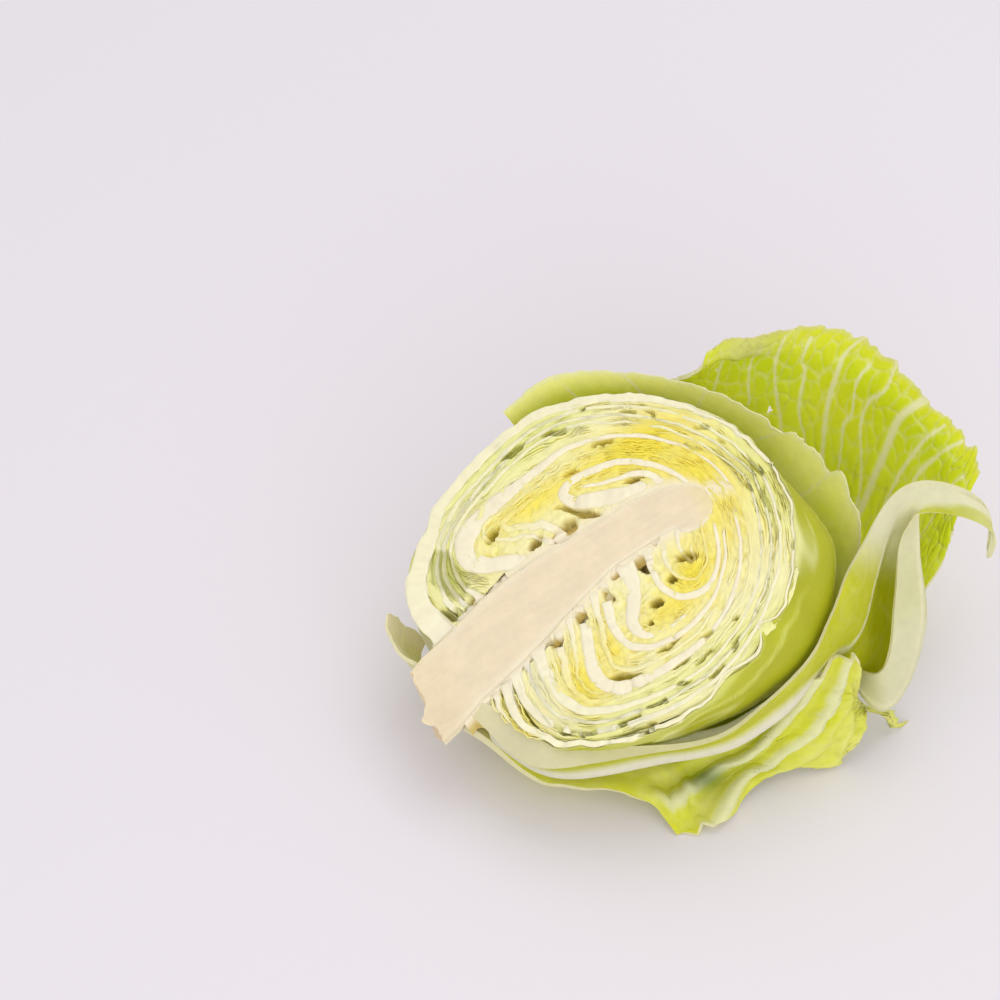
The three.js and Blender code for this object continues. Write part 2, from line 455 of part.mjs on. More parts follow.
const LOOSE = [
  {
    name: "torn_leaf", colour: COLOURS.greenLeaf, cells: [18, 20], thickness: [3, 1.4],
    lift: sum(ruffle(1.6, 3, 2), blisters(0.9, 5, 5)), vein: raisedRibs(0.6, 5), tear: [0.035, 3.3],
    net: [
      [atCore(-90.6, 14), atCore(-90.6, 30), atCore(-90.6, 46), atCore(-90.6, 62), atCore(-90.6, 78),
        atCore(-90.6, 92), atCore(-90.6, 104)],
      [off(30, 28, 4.6), off(30, 40, 4.4), off(30, 52, 4.2), off(30, 64, 4.2), off(30, 76, 4.2),
        off(30, 90, 4.2), off(29, 104, 4.2)],
      [off(56, 30, 3.6), off(62, 44, 3.4), off(68, 57, 3.4), off(72, 71, 3.4), off(74, 85, 3.4),
        off(74, 100, 3.4), off(70, 114, 3.4)],
      [off(75, 24, 3.6), off(92, 33, 3.4), off(108, 44, 3.4), off(118, 62, 3.6), off(122, 84, 3.8),
        off(118, 106, 4), off(108, 124, 3.6)],
      [off(83, 12, 4), off(106, 15, 5), off(128, 22, 5), off(143, 42, 6), off(150, 78, 8), off(143, 112, 8),
        off(127, 136, 4.5)],
      [off(84, 0, 10), off(109, 0, 14), off(134, 6, 11), off(155, 24, 12), off(168, 75, 18),
        off(158, 126, 19), off(138, 150, 7)],
    ],
  },
  {
    name: "right_leaf", colour: COLOURS.greenLeaf, cells: [28, 12], thickness: [4, 1.6],
    lift: blisters(0.8, 3, 7), vein: raisedRibs(0.8, 3), rim: 8,
    net: [
      [atCore(-84, 177), atCore(-84, 167), atCore(-84, 157), atCore(-84, 146), atCore(-84, 135),
        atCore(-84, 122)],
      [off(32, 176, 9.5), off(32, 165, 8), off(33, 154, 6), off(34, 143, 4.5), off(35, 132, 4),
        off(36, 122, 3.6)],
      [off(43, 177, 8.5), off(43, 166, 7), off(44, 155, 5), off(46, 144, 4.3), off(47, 133, 4),
        off(48, 122, 3.8)],
      [off(57, 175, 5.5), off(58, 165, 5), off(59, 155, 4.6), off(61, 145, 4.4), off(63, 134, 4.2),
        off(64, 124, 4)],
      [off(73, 168, 5), off(74, 160, 5), off(75, 152, 5), off(76, 144, 5), off(78, 136, 5), off(80, 128, 5)],
      [off(91, 165, 8.5), off(92, 156, 9), off(92, 147, 9), off(93, 140, 9), off(94, 134, 9),
        off(96, 127, 8)],
      [off(108, 165, 6), off(107, 156, 7), off(107, 147, 8.5), off(108, 139, 10), off(109, 133, 11),
        off(112, 127, 12)],
      [off(122, 164, 6), off(121, 154, 7), off(120, 145, 10), off(119, 138, 15), off(118, 134, 20),
        off(119, 131, 25)],
      [off(134, 165, 7), off(132, 151, 11), off(127, 138, 24), off(119, 135, 43), off(117, 139, 51),
        off(124, 144, 34)],
      [off(144, 160, 7), off(142, 146, 15), off(139, 131, 28), off(134, 131, 44), off(133, 139, 47),
        off(137, 142, 29)],
      [off(153, 149, 18), off(151, 141, 24), off(147, 129, 33), off(146, 131, 39), off(146, 137, 41),
        off(148, 137, 32)],
      [off(160, 142, 39), off(158, 138, 40), off(156, 135, 42), off(155, 134, 44), off(154, 137, 44),
        off(154, 139, 41)],
      [off(159, 132, 58), off(158, 131, 58), off(157, 131, 58), off(156, 132, 58), off(155, 133, 58),
        off(154, 134, 58)],
      [off(153, 133, 76), off(152, 133, 76), off(152, 134, 76), off(151, 135, 75), off(151, 135, 75),
        off(150, 136, 75)],
      [off(147, 136, 72), off(147, 136, 72), off(146, 136, 72), off(146, 137, 71), off(146, 137, 71),
        off(146, 137, 71)],
    ],
  },
  {
    name: "front_leaf", colour: COLOURS.greenLeaf, cells: [40, 16], thickness: [3, 1.6],
    lift: sum(ruffle(2.5, 2, 4), folds(2, 0.5, 0.1, 0.3)), vein: raisedRibs(0.8, 4), tear: [0.04, 2.6],
    net: [
      [atCore(-93, 166), atCore(-93, 156), atCore(-93, 146), atCore(-93, 136), atCore(-93, 126),
        atCore(-93, 116)],
      [off(30, 163, 18), off(32, 152, 13.5), off(34, 142, 11), off(36, 132, 9), off(38, 122, 7.4),
        off(40, 113, 6.4)],
      [off(42, 156, 20), off(44, 148, 14.4), off(46, 140, 11.6), off(48, 132, 10), off(51, 124, 8),
        off(54, 116, 6.4)],
      [off(60, 154, 22), off(61, 148, 15), off(62, 141, 11), off(64, 134, 9.6), off(66, 128, 9),
        off(69, 122, 8.4)],
      [off(76, 152, 46), off(75, 148, 30), off(76, 143, 19), off(78, 138, 13), off(80, 134, 10.5),
        off(82, 131, 10)],
      [off(92, 142, 41), off(91, 143, 35), off(90, 143, 29), off(90, 143, 23), off(91, 141, 18),
        off(92, 138, 15)],
      [off(101, 138, 57), off(101, 139, 49), off(102, 142, 38), off(103, 144, 29), off(105, 146, 19),
        off(106, 147, 13)],
      [off(107, 136, 65), off(108, 137, 57), off(110, 139, 46), off(112, 142, 36), off(116, 146, 24),
        off(120, 150, 15)],
      [off(111, 132, 72), off(112, 133, 65), off(113, 134, 56), off(114, 136, 43), off(117, 142, 31),
        off(124, 149, 21)],
      [off(115, 129, 78), off(115, 130, 73), off(115, 130, 67), off(113, 129, 58), off(114, 133, 44),
        off(119, 142, 30)],
    ],
  },
  {
    name: "back_leaf", colour: COLOURS.deepLeaf, cells: [30, 24], thickness: [4, 1.6],
    lift: sum(ruffle(2.5, 3, 4), blisters(1.5, 6, 8)), vein: raisedRibs(1, 6), tear: [0.02, 5.4],
    net: [
      [atCore(-97, 54), atCore(-97, 62), atCore(-97, 70), atCore(-97, 78), atCore(-97, 86), atCore(-97, 95),
        atCore(-97, 104)],
      [off(36, 42, 8.2), off(36, 52, 8.2), off(36, 64, 8.4), off(36, 76, 8.4), off(36, 88, 8.4),
        off(37, 100, 8.6), off(38, 110, 9)],
      [off(62, 40, 7.6), off(62, 54, 7.6), off(62, 68, 7.4), off(62, 82, 7.4), off(62, 96, 7.4),
        off(63, 108, 8), off(64, 116, 10)],
      [off(84, 28, 9), off(86, 46, 13), off(88, 64, 18), world(46, 40, 2.6), world(54, 28, 1.8),
        world(60, 12, 1.8), world(62, -2, 4)],
      [off(104, 20, 10), off(108, 36, 18), off(108, 56, 36), world(84, 60, 4), world(96, 46, 0.6),
        world(104, 30, 0.6), world(108, 14, 5)],
      [off(120, 16, 12), off(124, 27, 28), world(78, 94, 50), world(104, 82, 28), world(122, 66, 22),
        world(134, 44, 24), world(140, 24, 30)],
      [off(131, 17, 15), world(54, 101, 96), world(84, 103, 92), world(112, 94, 74), world(134, 78, 66),
        world(150, 55, 61), world(153, 34, 52)],
      [world(41, 93, 124), world(62, 104, 122), world(90, 108, 117), world(116, 101, 106),
        world(140, 86, 96), world(158, 67, 86), world(163, 50, 74)],
      [world(47, 100, 131), world(69, 106, 136), world(102, 113, 134), world(125, 105, 127),
        world(150, 86, 109), world(167, 75, 98), world(174, 66, 91)],
    ],
  },
  {
    name: "leaf_stub", colour: COLOURS.paleLeaf, cells: [6, 5], thickness: [2, 1.2], lift: ruffle(1.5, 1, 1),
    net: [
      [atCore(-99, 4), atCore(-99, 22), atCore(-99, 40)],
      [inHead(-104, 21, -1), inHead(-104, 19, -10), inHead(-103, 14, -18)],
      [inHead(-105, 32, -2), inHead(-104, 29, -14), inHead(-102, 23, -25)],
      [inHead(-99, 42, -5), inHead(-98, 38, -18), inHead(-95, 31, -30)],
    ],
  },
];

/** A loose leaf's solid in the row frame: thick at its foot, and along its first edge if that is a rib. */
function looseGeometry({ net, cells, thickness: [foot, blade], lift, vein, rim = 0, tear = [0, 0] }) {
  const rimShare = (u, v) => (1 - smooth(v / 0.5)) * (1 - smooth(u / 0.45));
  const thickness = (u, v) => lerp(foot, blade, smooth(u / 0.4)) + rim * rimShare(u, v);
  const settle = (p, u, v, middle) => {
    const q = clearOfCore(p).applyMatrix4(headToTable);
    const upper = q.z > middle.clone().applyMatrix4(headToTable).z ? blade : 0;
    const rests = TOUCHES.some(([x, y, reach]) => Math.hypot(q.x - x, q.y - y) < reach);
    if (rests && q.z < REST_CLEARANCE + upper) q.z = upper;
    if (!rests) q.z = Math.max(q.z, REST_CLEARANCE + upper);
    return q;
  };
  const at = torn(netSurface(net), ...tear);
  return bladeSolid({ at, thickness, rows: cells[0], columns: cells[1], lift, vein, settle });
}

// ---- Assembly --------------------------------------------------------------------------------------------
const cabbage = new THREE.Group();

/** Adds one named piece to the cabbage. */
function addPiece(name, geometry, colour) {
  const material = new THREE.MeshStandardMaterial({ color: colour, roughness: 0.45, metalness: 0 });
  const piece = new THREE.Mesh(geometry, material);
  piece.name = name;
  cabbage.add(piece);
}

addPiece("core", coreGeometry().applyMatrix4(headToTable), COLOURS.core);
for (const leaf of WRAPPERS) {
  addPiece(leaf.name, wrapperGeometry(leaf).applyMatrix4(headToTable), leaf.colour);
}
for (const leaf of LOOSE) addPiece(leaf.name, looseGeometry(leaf), leaf.colour);
for (const leaf of INNER) addPiece(leaf.name, innerGeometry(leaf).applyMatrix4(headToTable), leaf.colour);

export default cabbage;
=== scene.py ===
"""Half of a savoy cabbage on a pale table, with its cut face up.

Every node of the part is replaced by a finer piece of the same form. Lengths are in millimetres, in the head
frame (a, b, n): a runs along the core from the stem to the crown, b across the cut face, and n out of it.
to_row() turns that frame into the part's own, and Mesh.build() turns millimetres into metres.
"""
import math

import bpy
import numpy as np
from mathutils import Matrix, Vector


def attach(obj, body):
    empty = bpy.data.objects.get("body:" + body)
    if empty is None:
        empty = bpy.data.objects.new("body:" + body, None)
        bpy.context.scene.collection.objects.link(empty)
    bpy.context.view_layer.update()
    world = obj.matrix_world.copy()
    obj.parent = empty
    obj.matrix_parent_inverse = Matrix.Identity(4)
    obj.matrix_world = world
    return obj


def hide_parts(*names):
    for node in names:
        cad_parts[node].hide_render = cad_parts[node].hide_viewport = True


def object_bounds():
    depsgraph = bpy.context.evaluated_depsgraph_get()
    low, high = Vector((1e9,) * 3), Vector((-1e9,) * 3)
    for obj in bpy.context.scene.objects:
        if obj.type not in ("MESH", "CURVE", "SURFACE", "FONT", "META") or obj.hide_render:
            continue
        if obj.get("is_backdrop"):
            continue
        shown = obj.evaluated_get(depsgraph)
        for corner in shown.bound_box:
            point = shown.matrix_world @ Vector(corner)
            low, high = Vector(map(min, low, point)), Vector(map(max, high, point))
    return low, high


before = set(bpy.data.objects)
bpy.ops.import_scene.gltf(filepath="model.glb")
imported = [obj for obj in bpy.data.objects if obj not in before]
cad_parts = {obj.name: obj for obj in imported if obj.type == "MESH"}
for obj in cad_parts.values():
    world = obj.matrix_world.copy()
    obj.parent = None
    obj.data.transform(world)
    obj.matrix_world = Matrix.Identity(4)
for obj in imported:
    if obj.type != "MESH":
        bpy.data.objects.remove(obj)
packed_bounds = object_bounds()

# ---- The part's driving dimensions ----
MM_PER_METRE = 1000
FACE_HEIGHT = 92  # middle of the cut face above the table
HEADING, PITCH, ROLL = 19.2, 27.7, 14.8  # degrees that the head is turned, raised at the crown and rolled
HEAD_CENTRE = np.array([0.0, 5.0, 0.0])
HEART_CENTRE, HEART_DEPTH = HEAD_CENTRE[:2], 64
# The core's line as (a, b), and its radius as (a, radius).
CORE_LINE = np.array([[-105, -11], [-80, -4], [-60, 1], [-30, 7], [0, 10.5], [30, 10.5], [60, 5], [85, 0]],
                     float)
CORE_RADIUS = np.array([[-104, 18.5], [-95, 18.8], [-80, 17.6], [-60, 18.3], [-40, 17.2], [-25, 15.2],
                        [-10, 12.8], [5, 11.2], [22, 11], [34, 10.4], [43, 8], [49, 4.5], [52, 1]], float)
CORE_GAP = 0.7  # between the core and the foot of each leaf
SLACK_TURN, SLACK_ALONG = 146, 0.74  # where wrapper leaves swell most: degrees and a share of their length
SHARPNESS = 250  # how closely a loose leaf follows the head below it
TWIST_THICK = 0.64  # thickness of the right-hand leaf where it twists
LEAST_HEIGHT = 0.3  # of any leaf above the table


# ---- Curves ----
def smooth(x):
    x = np.clip(x, 0, 1)
    return x * x * (3 - 2 * x)


def mix(x, y, share):
    return x + (y - x) * share


def shares(count):
    """Even steps from 0 to 1."""
    return np.linspace(0, 1, count)


def bell(x, middle, spread):
    return np.exp(-(((x - middle) / spread) ** 2))


def unit(way):
    return way / np.linalg.norm(way, axis=-1, keepdims=True)


def on_grid(down, across):
    """Places (row's number, column's number) for a grid of points."""
    return np.stack(np.broadcast_arrays(down[:, None], across[None]), -1)


def spline(points, t):
    """Centripetal Catmull-Rom curve through points[k], read at t in 0..1. The points may be arrays."""
    points, t = np.asarray(points, float), np.atleast_1d(t)
    last = len(points) - 1
    i = np.minimum((np.clip(t, 0, 1) * last).astype(int), last - 1)
    w = (np.clip(t, 0, 1) * last - i).reshape((-1,) + (1,) * (points.ndim - 1))
    ends = np.concatenate([[2 * points[0] - points[1]], points, [2 * points[-1] - points[-2]]])
    x0, x1, x2, x3 = (ends[i + k] for k in range(4))
    steps = ((x0, x1), (x1, x2), (x2, x3))
    d0, d1, d2 = (np.sqrt(np.linalg.norm(q - p, axis=-1, keepdims=True)) for p, q in steps)
    d1 = np.where(d1 < 1e-4, 1, d1)
    d0, d2 = np.where(d0 < 1e-4, d1, d0), np.where(d2 < 1e-4, d1, d2)
    t1 = ((x1 - x0) / d0 - (x2 - x0) / (d0 + d1) + (x2 - x1) / d1) * d1
    t2 = ((x2 - x1) / d1 - (x3 - x1) / (d1 + d2) + (x3 - x2) / d2) * d1
    return x1 + t1 * w + (3 * (x2 - x1) - 2 * t1 - t2) * w**2 + (2 * (x1 - x2) + t1 + t2) * w**3


def by_length(points, u):
    """The curve read at shares u of its length, and the length."""
    fine = shares(201)
    run = np.concatenate([[0], np.cumsum(np.linalg.norm(np.diff(spline(points, fine), axis=0), axis=1))])
    return spline(points, np.interp(np.asarray(u) * run[-1], run, fine)), run[-1]


def core_line(a):
    return np.interp(a, CORE_LINE[:, 0], CORE_LINE[:, 1])


def core_radius(a):
    return np.interp(a, CORE_RADIUS[:, 0], CORE_RADIUS[:, 1])


def round_core(a, distance, turn):
    """Point at (a, distance from the core's line, turn about it in degrees)."""
    a, distance, turn = np.broadcast_arrays(a, distance, np.radians(turn))
    return np.stack([a, core_line(a) + distance * np.cos(turn), -distance * np.sin(turn)], -1)


def clear_of_core(p):
    """Moves points that are too close to the core's line out to just beyond its skin."""
    away = np.hypot(p[..., 1] - core_line(p[..., 0]), p[..., 2])
    least = core_radius(p[..., 0]) + CORE_GAP
    inside = (p[..., 0] <= CORE_RADIUS[-1, 0]) & (away < least)
    scale = np.where(inside, least / np.maximum(away, 1e-6), 1)
    line = core_line(p[..., 0])
    return np.stack([p[..., 0], line + (p[..., 1] - line) * scale, p[..., 2] * scale], -1)


def rotation(axis, degrees):
    """The matrix of a turn about axis 0, 1 or 2."""
    c, s = math.cos(math.radians(degrees)), math.sin(math.radians(degrees))
    i, j = [(1, 2), (2, 0), (0, 1)][axis]
    matrix = np.eye(3)
    matrix[i, i] = matrix[j, j] = c
    matrix[i, j], matrix[j, i] = -s, s
    return matrix


TURN = rotation(2, HEADING) @ rotation(1, -PITCH) @ rotation(0, ROLL)


def to_row(p):
    """Head frame to row frame, both in millimetres."""
    return p @ TURN.T + np.array([0, 0, FACE_HEIGHT])


def to_head(p):
    return (np.asarray(p, float) - np.array([0, 0, FACE_HEIGHT])) @ TURN


# ---- Noise ----
def lattice(i, j, k, seed):
    """A steady random number in -1..1 for each lattice point."""
    h = (i * 374761393 + j * 668265263 + k * 1274126177 + seed * 974711).astype(np.uint32)
    h = (h ^ (h >> np.uint32(13))) * np.uint32(1274126177)
    h = h ^ (h >> np.uint32(16))
    return h.astype(float) / 2147483647.5 - 1


def noise(p, scale, seed=0):
    """Smooth noise in -1..1 of points (..., 1 to 3), with features about scale wide."""
    p = np.asarray(p, float) / np.asarray(scale, float)
    if p.shape[-1] < 3:
        p = np.concatenate([p, np.zeros(p.shape[:-1] + (3 - p.shape[-1],))], -1)
    base = np.floor(p).astype(np.int64)
    f = smooth(p - base)
    total = 0
    for di in (0, 1):
        for dj in (0, 1):
            for dk in (0, 1):
                weight = 1
                for axis, d in enumerate((di, dj, dk)):
                    weight = weight * (f[..., axis] if d else 1 - f[..., axis])
                corner = lattice(base[..., 0] + di, base[..., 1] + dj, base[..., 2] + dk, seed)
                total = total + weight * corner
    return total


def noise_along(s, scale, seed):
    return noise(np.asarray(s, float)[..., None], scale, seed)


# ---- Meshes ----
class Mesh:
    """Points, quads and a colour for each point, gathered before they become one piece."""

    def __init__(self):
        self.points, self.colours, self.quads, self.count = [], [], [], 0

    def add_grid(self, grid, colour, keep=None, wrap=False, flip=False):
        """A sheet of quads on a grid (rows, columns, 3), with colour (rows, columns, 3)."""
        rows, columns = grid.shape[:2]
        at = np.arange(rows * columns).reshape(rows, columns) + self.count
        if wrap:
            at = np.concatenate([at, at[:, :1]], 1)
        quads = np.stack([at[:-1, :-1], at[1:, :-1], at[1:, 1:], at[:-1, 1:]], -1)
        if flip:
            quads = quads[..., ::-1]
        quads = quads.reshape(-1, 4)
        if keep is not None:
            quads = quads[keep.ravel()]
        self.points.append(grid.reshape(-1, 3))
        self.colours.append(np.broadcast_to(colour, grid.shape).reshape(-1, 3))
        self.quads.append(quads)
        self.count += rows * columns

    def build(self, name, node, slot, material):
        """The piece that stands for a node of the part."""
        points = to_row(np.concatenate(self.points)) / MM_PER_METRE
        quads = np.concatenate(self.quads)
        mesh = bpy.data.meshes.new(name)
        mesh.vertices.add(len(points))
        mesh.vertices.foreach_set("co", points.ravel())
        mesh.loops.add(quads.size)
        mesh.loops.foreach_set("vertex_index", quads.ravel().astype(np.int32))
        mesh.polygons.add(len(quads))
        mesh.polygons.foreach_set("loop_start", np.arange(0, quads.size, 4, dtype=np.int32))
        mesh.update(calc_edges=True)
        mesh.polygons.foreach_set("use_smooth", np.ones(len(quads), bool))
        tint = mesh.color_attributes.new("tint", "FLOAT_COLOR", "POINT")
        colours = np.clip(np.concatenate(self.colours), 0, 1)
        tint.data.foreach_set("color", np.concatenate([colours, np.ones((len(colours), 1))], 1).ravel())
        mesh.materials.append(material)
        piece = bpy.data.objects.new(name, mesh)
        bpy.context.collection.objects.link(piece)
        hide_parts(node)
        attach(piece, "root")


def normals_of(grid):
    """The way that a sheet faces at each of its points."""
    along = np.gradient(grid, axis=0)
    across = np.gradient(grid, axis=1)
    flat = np.linalg.norm(across, axis=-1) < 1e-6
    across[flat] = np.roll(across, 1, axis=0)[flat]
    n = np.cross(along, across)
    return n / np.maximum(np.linalg.norm(n, axis=-1, keepdims=True), 1e-9)


def add_blade(mesh, front, back, front_colour, back_colour, edge_colour, keep=None):
    """A leaf blade: two faces and the cut or torn edge round them."""
    mesh.add_grid(front, front_colour, keep)
    mesh.add_grid(back, back_colour, keep, flip=True)
    for cut in (np.s_[0, :], np.s_[-1, :], np.s_[:, 0], np.s_[:, -1]):
        edge = np.stack([front[cut], (front[cut] + back[cut]) / 2, back[cut]])
        mesh.add_grid(edge, np.broadcast_to(edge_colour, edge.shape))


# ---- Colours ----
def rgb(*bytes_):
    """Linear colour from the usual 0..255 numbers."""
    c = np.array(bytes_, float) / 255
    return np.where(c <= 0.04045, c / 12.92, ((c + 0.055) / 1.055) ** 2.4)


CORE_CREAM, CORE_FOOT, CORE_TIP = rgb(238, 222, 190), rgb(233, 214, 176), rgb(240, 222, 130)
# On the next line, the second colour is painted shade for the gaps beside the core.
CORE_SIDE, CORE_SKIRT_SHADE = rgb(226, 214, 178), rgb(206, 184, 104)
STUMP_TOP, STUMP_END = rgb(232, 212, 174), rgb(226, 200, 160)
FOOT_CREAM = rgb(244, 233, 206)
RIB_WHITE = rgb(249, 241, 212)
PALE_GREEN, FRESH_GREEN = rgb(236, 236, 168), rgb(216, 216, 84)
LAYER_CREAM, LAYER_YELLOW, LAYER_GREEN = rgb(247, 240, 188), rgb(247, 228, 84), rgb(230, 236, 136)
BLADE_CREAM, HEART_YELLOW = rgb(250, 240, 164), rgb(252, 234, 84)
# On the next line, the first two colours are painted shade for the deep gaps between the cut edges.
GAP_SHADE_GREEN, GAP_SHADE_BROWN, PATCH_GREEN = rgb(206, 198, 70), rgb(180, 132, 64), rgb(216, 224, 104)
FLANK_PALE, FLANK_GREEN, FLANK_DEEP = rgb(226, 228, 124), rgb(176, 178, 34), rgb(156, 164, 16)
FLANK_BARE, FLANK_TORN = rgb(190, 194, 44), rgb(226, 230, 130)
LEAF_GREEN, LEAF_BACK, LEAF_FOOT = rgb(222, 239, 12), rgb(244, 242, 214), rgb(250, 244, 214)
VEIN = rgb(250, 250, 204)
# On the next line, the second colour is painted shade for a deep notch in a leaf.
# On the next line, the third colour is painted light for a band across a leaf that looks lit through.
CREST, NOTCH_SHADE_GREEN, PAINTED_GLOW_GREEN = rgb(250, 251, 206), rgb(110, 140, 50), rgb(244, 252, 70)
TROUGH_LIME, RIDGE_WHITE, WALL_WHITE = rgb(192, 202, 40), rgb(253, 250, 228), rgb(255, 254, 250)

# Where the cut face is yellow, and where it is green: (a, b, reach a, reach b, strength).
YELLOW_SPOTS = [(50, 14, 24, 24, 1.0), (32, 44, 30, 12, 1.0), (-20, 47, 26, 7, 0.8), (-36, -40, 10, 16, 0.9),
                (-70, -40, 8, 14, 0.8), (-18, -32, 6, 14, 0.7), (12, -32, 16, 8, 0.8), (29, -22, 12, 9, 0.9),
                (52, -14, 16, 22, 0.25), (-48, 33, 10, 8, 0.3)]
GREEN_SPOTS = [(-68, 42, 12, 18, 0.9), (-30, 72, 40, 12, 0.7), (20, 76, 40, 9, 0.6), (76, 0, 9, 50, 0.7),
               (40, -62, 50, 12, 0.7), (-40, -62, 40, 8, 0.6)]


def spots(a, b, table):
    """How much a place on the cut face lies in any of the spots of a table."""
    total = sum(s * np.exp(-((a - x) / ra) ** 2 - ((b - y) / rb) ** 2) for x, y, ra, rb, s in table)
    return np.clip(total, 0, 1)


def layer_colour(a, b):
    """Colour of a thin layer's cut edge at a place on the cut face."""
    base = mix(LAYER_CREAM, LAYER_YELLOW, spots(a, b, YELLOW_SPOTS)[..., None])
    return mix(base, LAYER_GREEN, 0.8 * spots(a, b, GREEN_SPOTS)[..., None])


def blade_colour(a, b):
    """Colour of the blades in the gaps between the cut edges."""
    base = mix(BLADE_CREAM, HEART_YELLOW, spots(a, b, YELLOW_SPOTS)[..., None])
    return mix(base, FRESH_GREEN, 0.8 * spots(a, b, GREEN_SPOTS)[..., None])


def painted_depth_shade(colour, a, b, depth):
    """Painted shade on a colour for its depth below the cut face: darker and greener, and brown close to the
    core.
    """
    away = np.abs(b - core_line(a)) - core_radius(a) * (a < 52)
    dark = mix(GAP_SHADE_GREEN, GAP_SHADE_BROWN, np.exp(-np.maximum(away, 0) / 9)[..., None])
    return mix(colour, dark, (0.7 * smooth((depth - 2) / 10))[..., None])


def rim_shift(a, b):
    """How far the torn rim of the outermost leaf strays outwards at a place on the cut face."""
    place_at = np.stack(np.broadcast_arrays(a, b), -1)
    flap = 5 * bell(a, 20, 9) * bell(b, -72, 9) + 6 * bell(a, 46, 6) * bell(b, -63, 8)
    return 1.0 * noise(place_at, 10, 61) + 0.5 * noise(place_at, 3.6, 62) - flap


# ---- Cut face ----
# Hollows lower the cut edges near them: (a, b, reach a, reach b, turn in degrees, depth).
HOLLOWS = [
    (-69, 42, 7, 14, 12, 3), (-14, 74, 6, 2, 5, 4), (7, 70.5, 5, 1.6, -12, 4), (4, 50, 3, 1.4, 0, 4),
    (22, 54, 4, 1.2, -25, 4), (40, 60, 3, 1, -40, 3), (48, 53, 3, 1, -45, 3), (24, 73, 3, 1, -20, 3),
    (-75, 22, 3, 5, 60, 7), (-65, 20, 3.5, 1.5, 20, 5), (-25, 29.5, 4, 1.6, 20, 6), (-12, 27, 7, 3, 10, 5),
    (-2, 32, 9, 2.4, -45, 5), (28, 30, 3.5, 1.2, -10, 5), (-41, 44.5, 3, 2, 20, 7), (-37, -17, 2.5, 2, 0, 6),
    (-24, -12, 3.5, 2.4, 60, 6), (-9, -11, 2, 3, 0, 5), (0, -3, 3.5, 2, 10, 5), (12, -6, 2.4, 4.5, 10, 8),
    (22, -1, 2, 1.5, 0, 5), (31, -15, 4.5, 1.8, -30, 7), (20, -18.5, 1.2, 2, 0, 6),
    (9.5, -26, 2, 2.4, 30, 9), (2, -32, 1.6, 1.2, 0, 7), (-20, -48, 6, 2.8, -20, 6),
    (-59, -56, 5, 1, -45, 5), (-52, -55, 7, 1, -48, 5),
    (-44, -60, 4, 1, -30, 5), (-27, -64, 6, 1, -8, 5), (-12, -65, 4, 1, -5, 5), (-27, -70, 10, 1.6, -14, 7),
    (5, -45, 5, 1, 0, 4), (22, -50, 3, 1.2, 10, 4), (36, -50, 2, 1.2, 30, 4), (5, -55, 5, 1, 2, 4),
    (16, -58, 4, 1, 10, 4), (3, -63, 3, 1, 0, 4), (17, -67, 3, 1, 12, 4), (30, -61, 3, 1, 25, 4),
    (69, -25, 1.2, 6, -22, 2), (73, -39, 1.4, 9, -30, 2), (78, -13, 1.1, 8, -8, 2), (73, -11, 1, 6, -8, 2),
    (69, -2, 1, 3, 0, 2), (64, 35, 1, 3, 35, 2), (69, 24, 1, 3, 25, 2), (76, 5, 0.9, 5, 5, 2),
    (24, -75, 9, 3, 12, 4), (49, -66, 5, 2.4, 40, 6),
]


def hollow(a, b):
    """How far the cut edges lie below the cut face at a place."""
    depth = np.zeros_like(a)
    place_at = np.stack([a, b], -1)
    a = a + 1.6 * noise(place_at, 4.5, 63) + 0.5 * noise(place_at, 1.6, 64)
    b = b + 1.3 * noise(place_at, 4.5, 65) + 0.5 * noise(place_at, 1.6, 66)
    for x, y, ra, rb, turn, deep in HOLLOWS:
        c, s = math.cos(math.radians(turn)), math.sin(math.radians(turn))
        along, across = (a - x) * c + (b - y) * s, -(a - x) * s + (b - y) * c
        away = np.sqrt((along / ra) ** 2 + (across / rb) ** 2)
        depth = np.maximum(depth, deep * smooth((1.35 - away) / 0.6))
    return depth


def closing(points):
    """Draws points in towards the heart's centre with their depth, as the leaves close at the back."""
    share = np.sqrt(np.clip(1 - (points[..., 2] / HEART_DEPTH) ** 2, 0, 1))[..., None]
    flat = HEART_CENTRE + (points[..., :2] - HEART_CENTRE) * share
    return np.concatenate([flat, points[..., 2:]], -1)


def under_wrapper(points):
    """Keeps points under the outermost wrapper leaf, which closes round the core with the depth."""
    a, away, down = points[..., 0], points[..., 1] - core_line(points[..., 0]), points[..., 2]
    reach = np.zeros_like(a)
    for side, guide in ((away >= 0, "plus"), (away < 0, "minus")):
        line = np.array(WRAPPERS["wrapper_leaf_1"][guide])
        room = np.interp(a, line[:, 0], np.abs(line[:, 1] - core_line(line[:, 0])))
        reach = np.where(side, room, reach)
    least = np.sqrt(np.clip((reach - 2.5) ** 2 - down**2, 0, None))
    kept = np.where(down < -1.5, np.clip(away, -least, least), away)
    return np.stack([a, kept + core_line(a), down], -1)


# Places on one side of a cut edge, from the bottom of its wall to its top: (share of the half width, share of
# the depth). SECTION is (side, width, depth) from one wall over the top to the other.
HALF_SECTION = [(1, 1), (1, 0.45), (1, 0.16), (0.97, 0.05), (0.86, 0.014), (0.5, 0)]
SECTION = [(-1, *spot) for spot in HALF_SECTION] + [(1, *spot) for spot in HALF_SECTION[::-1]]


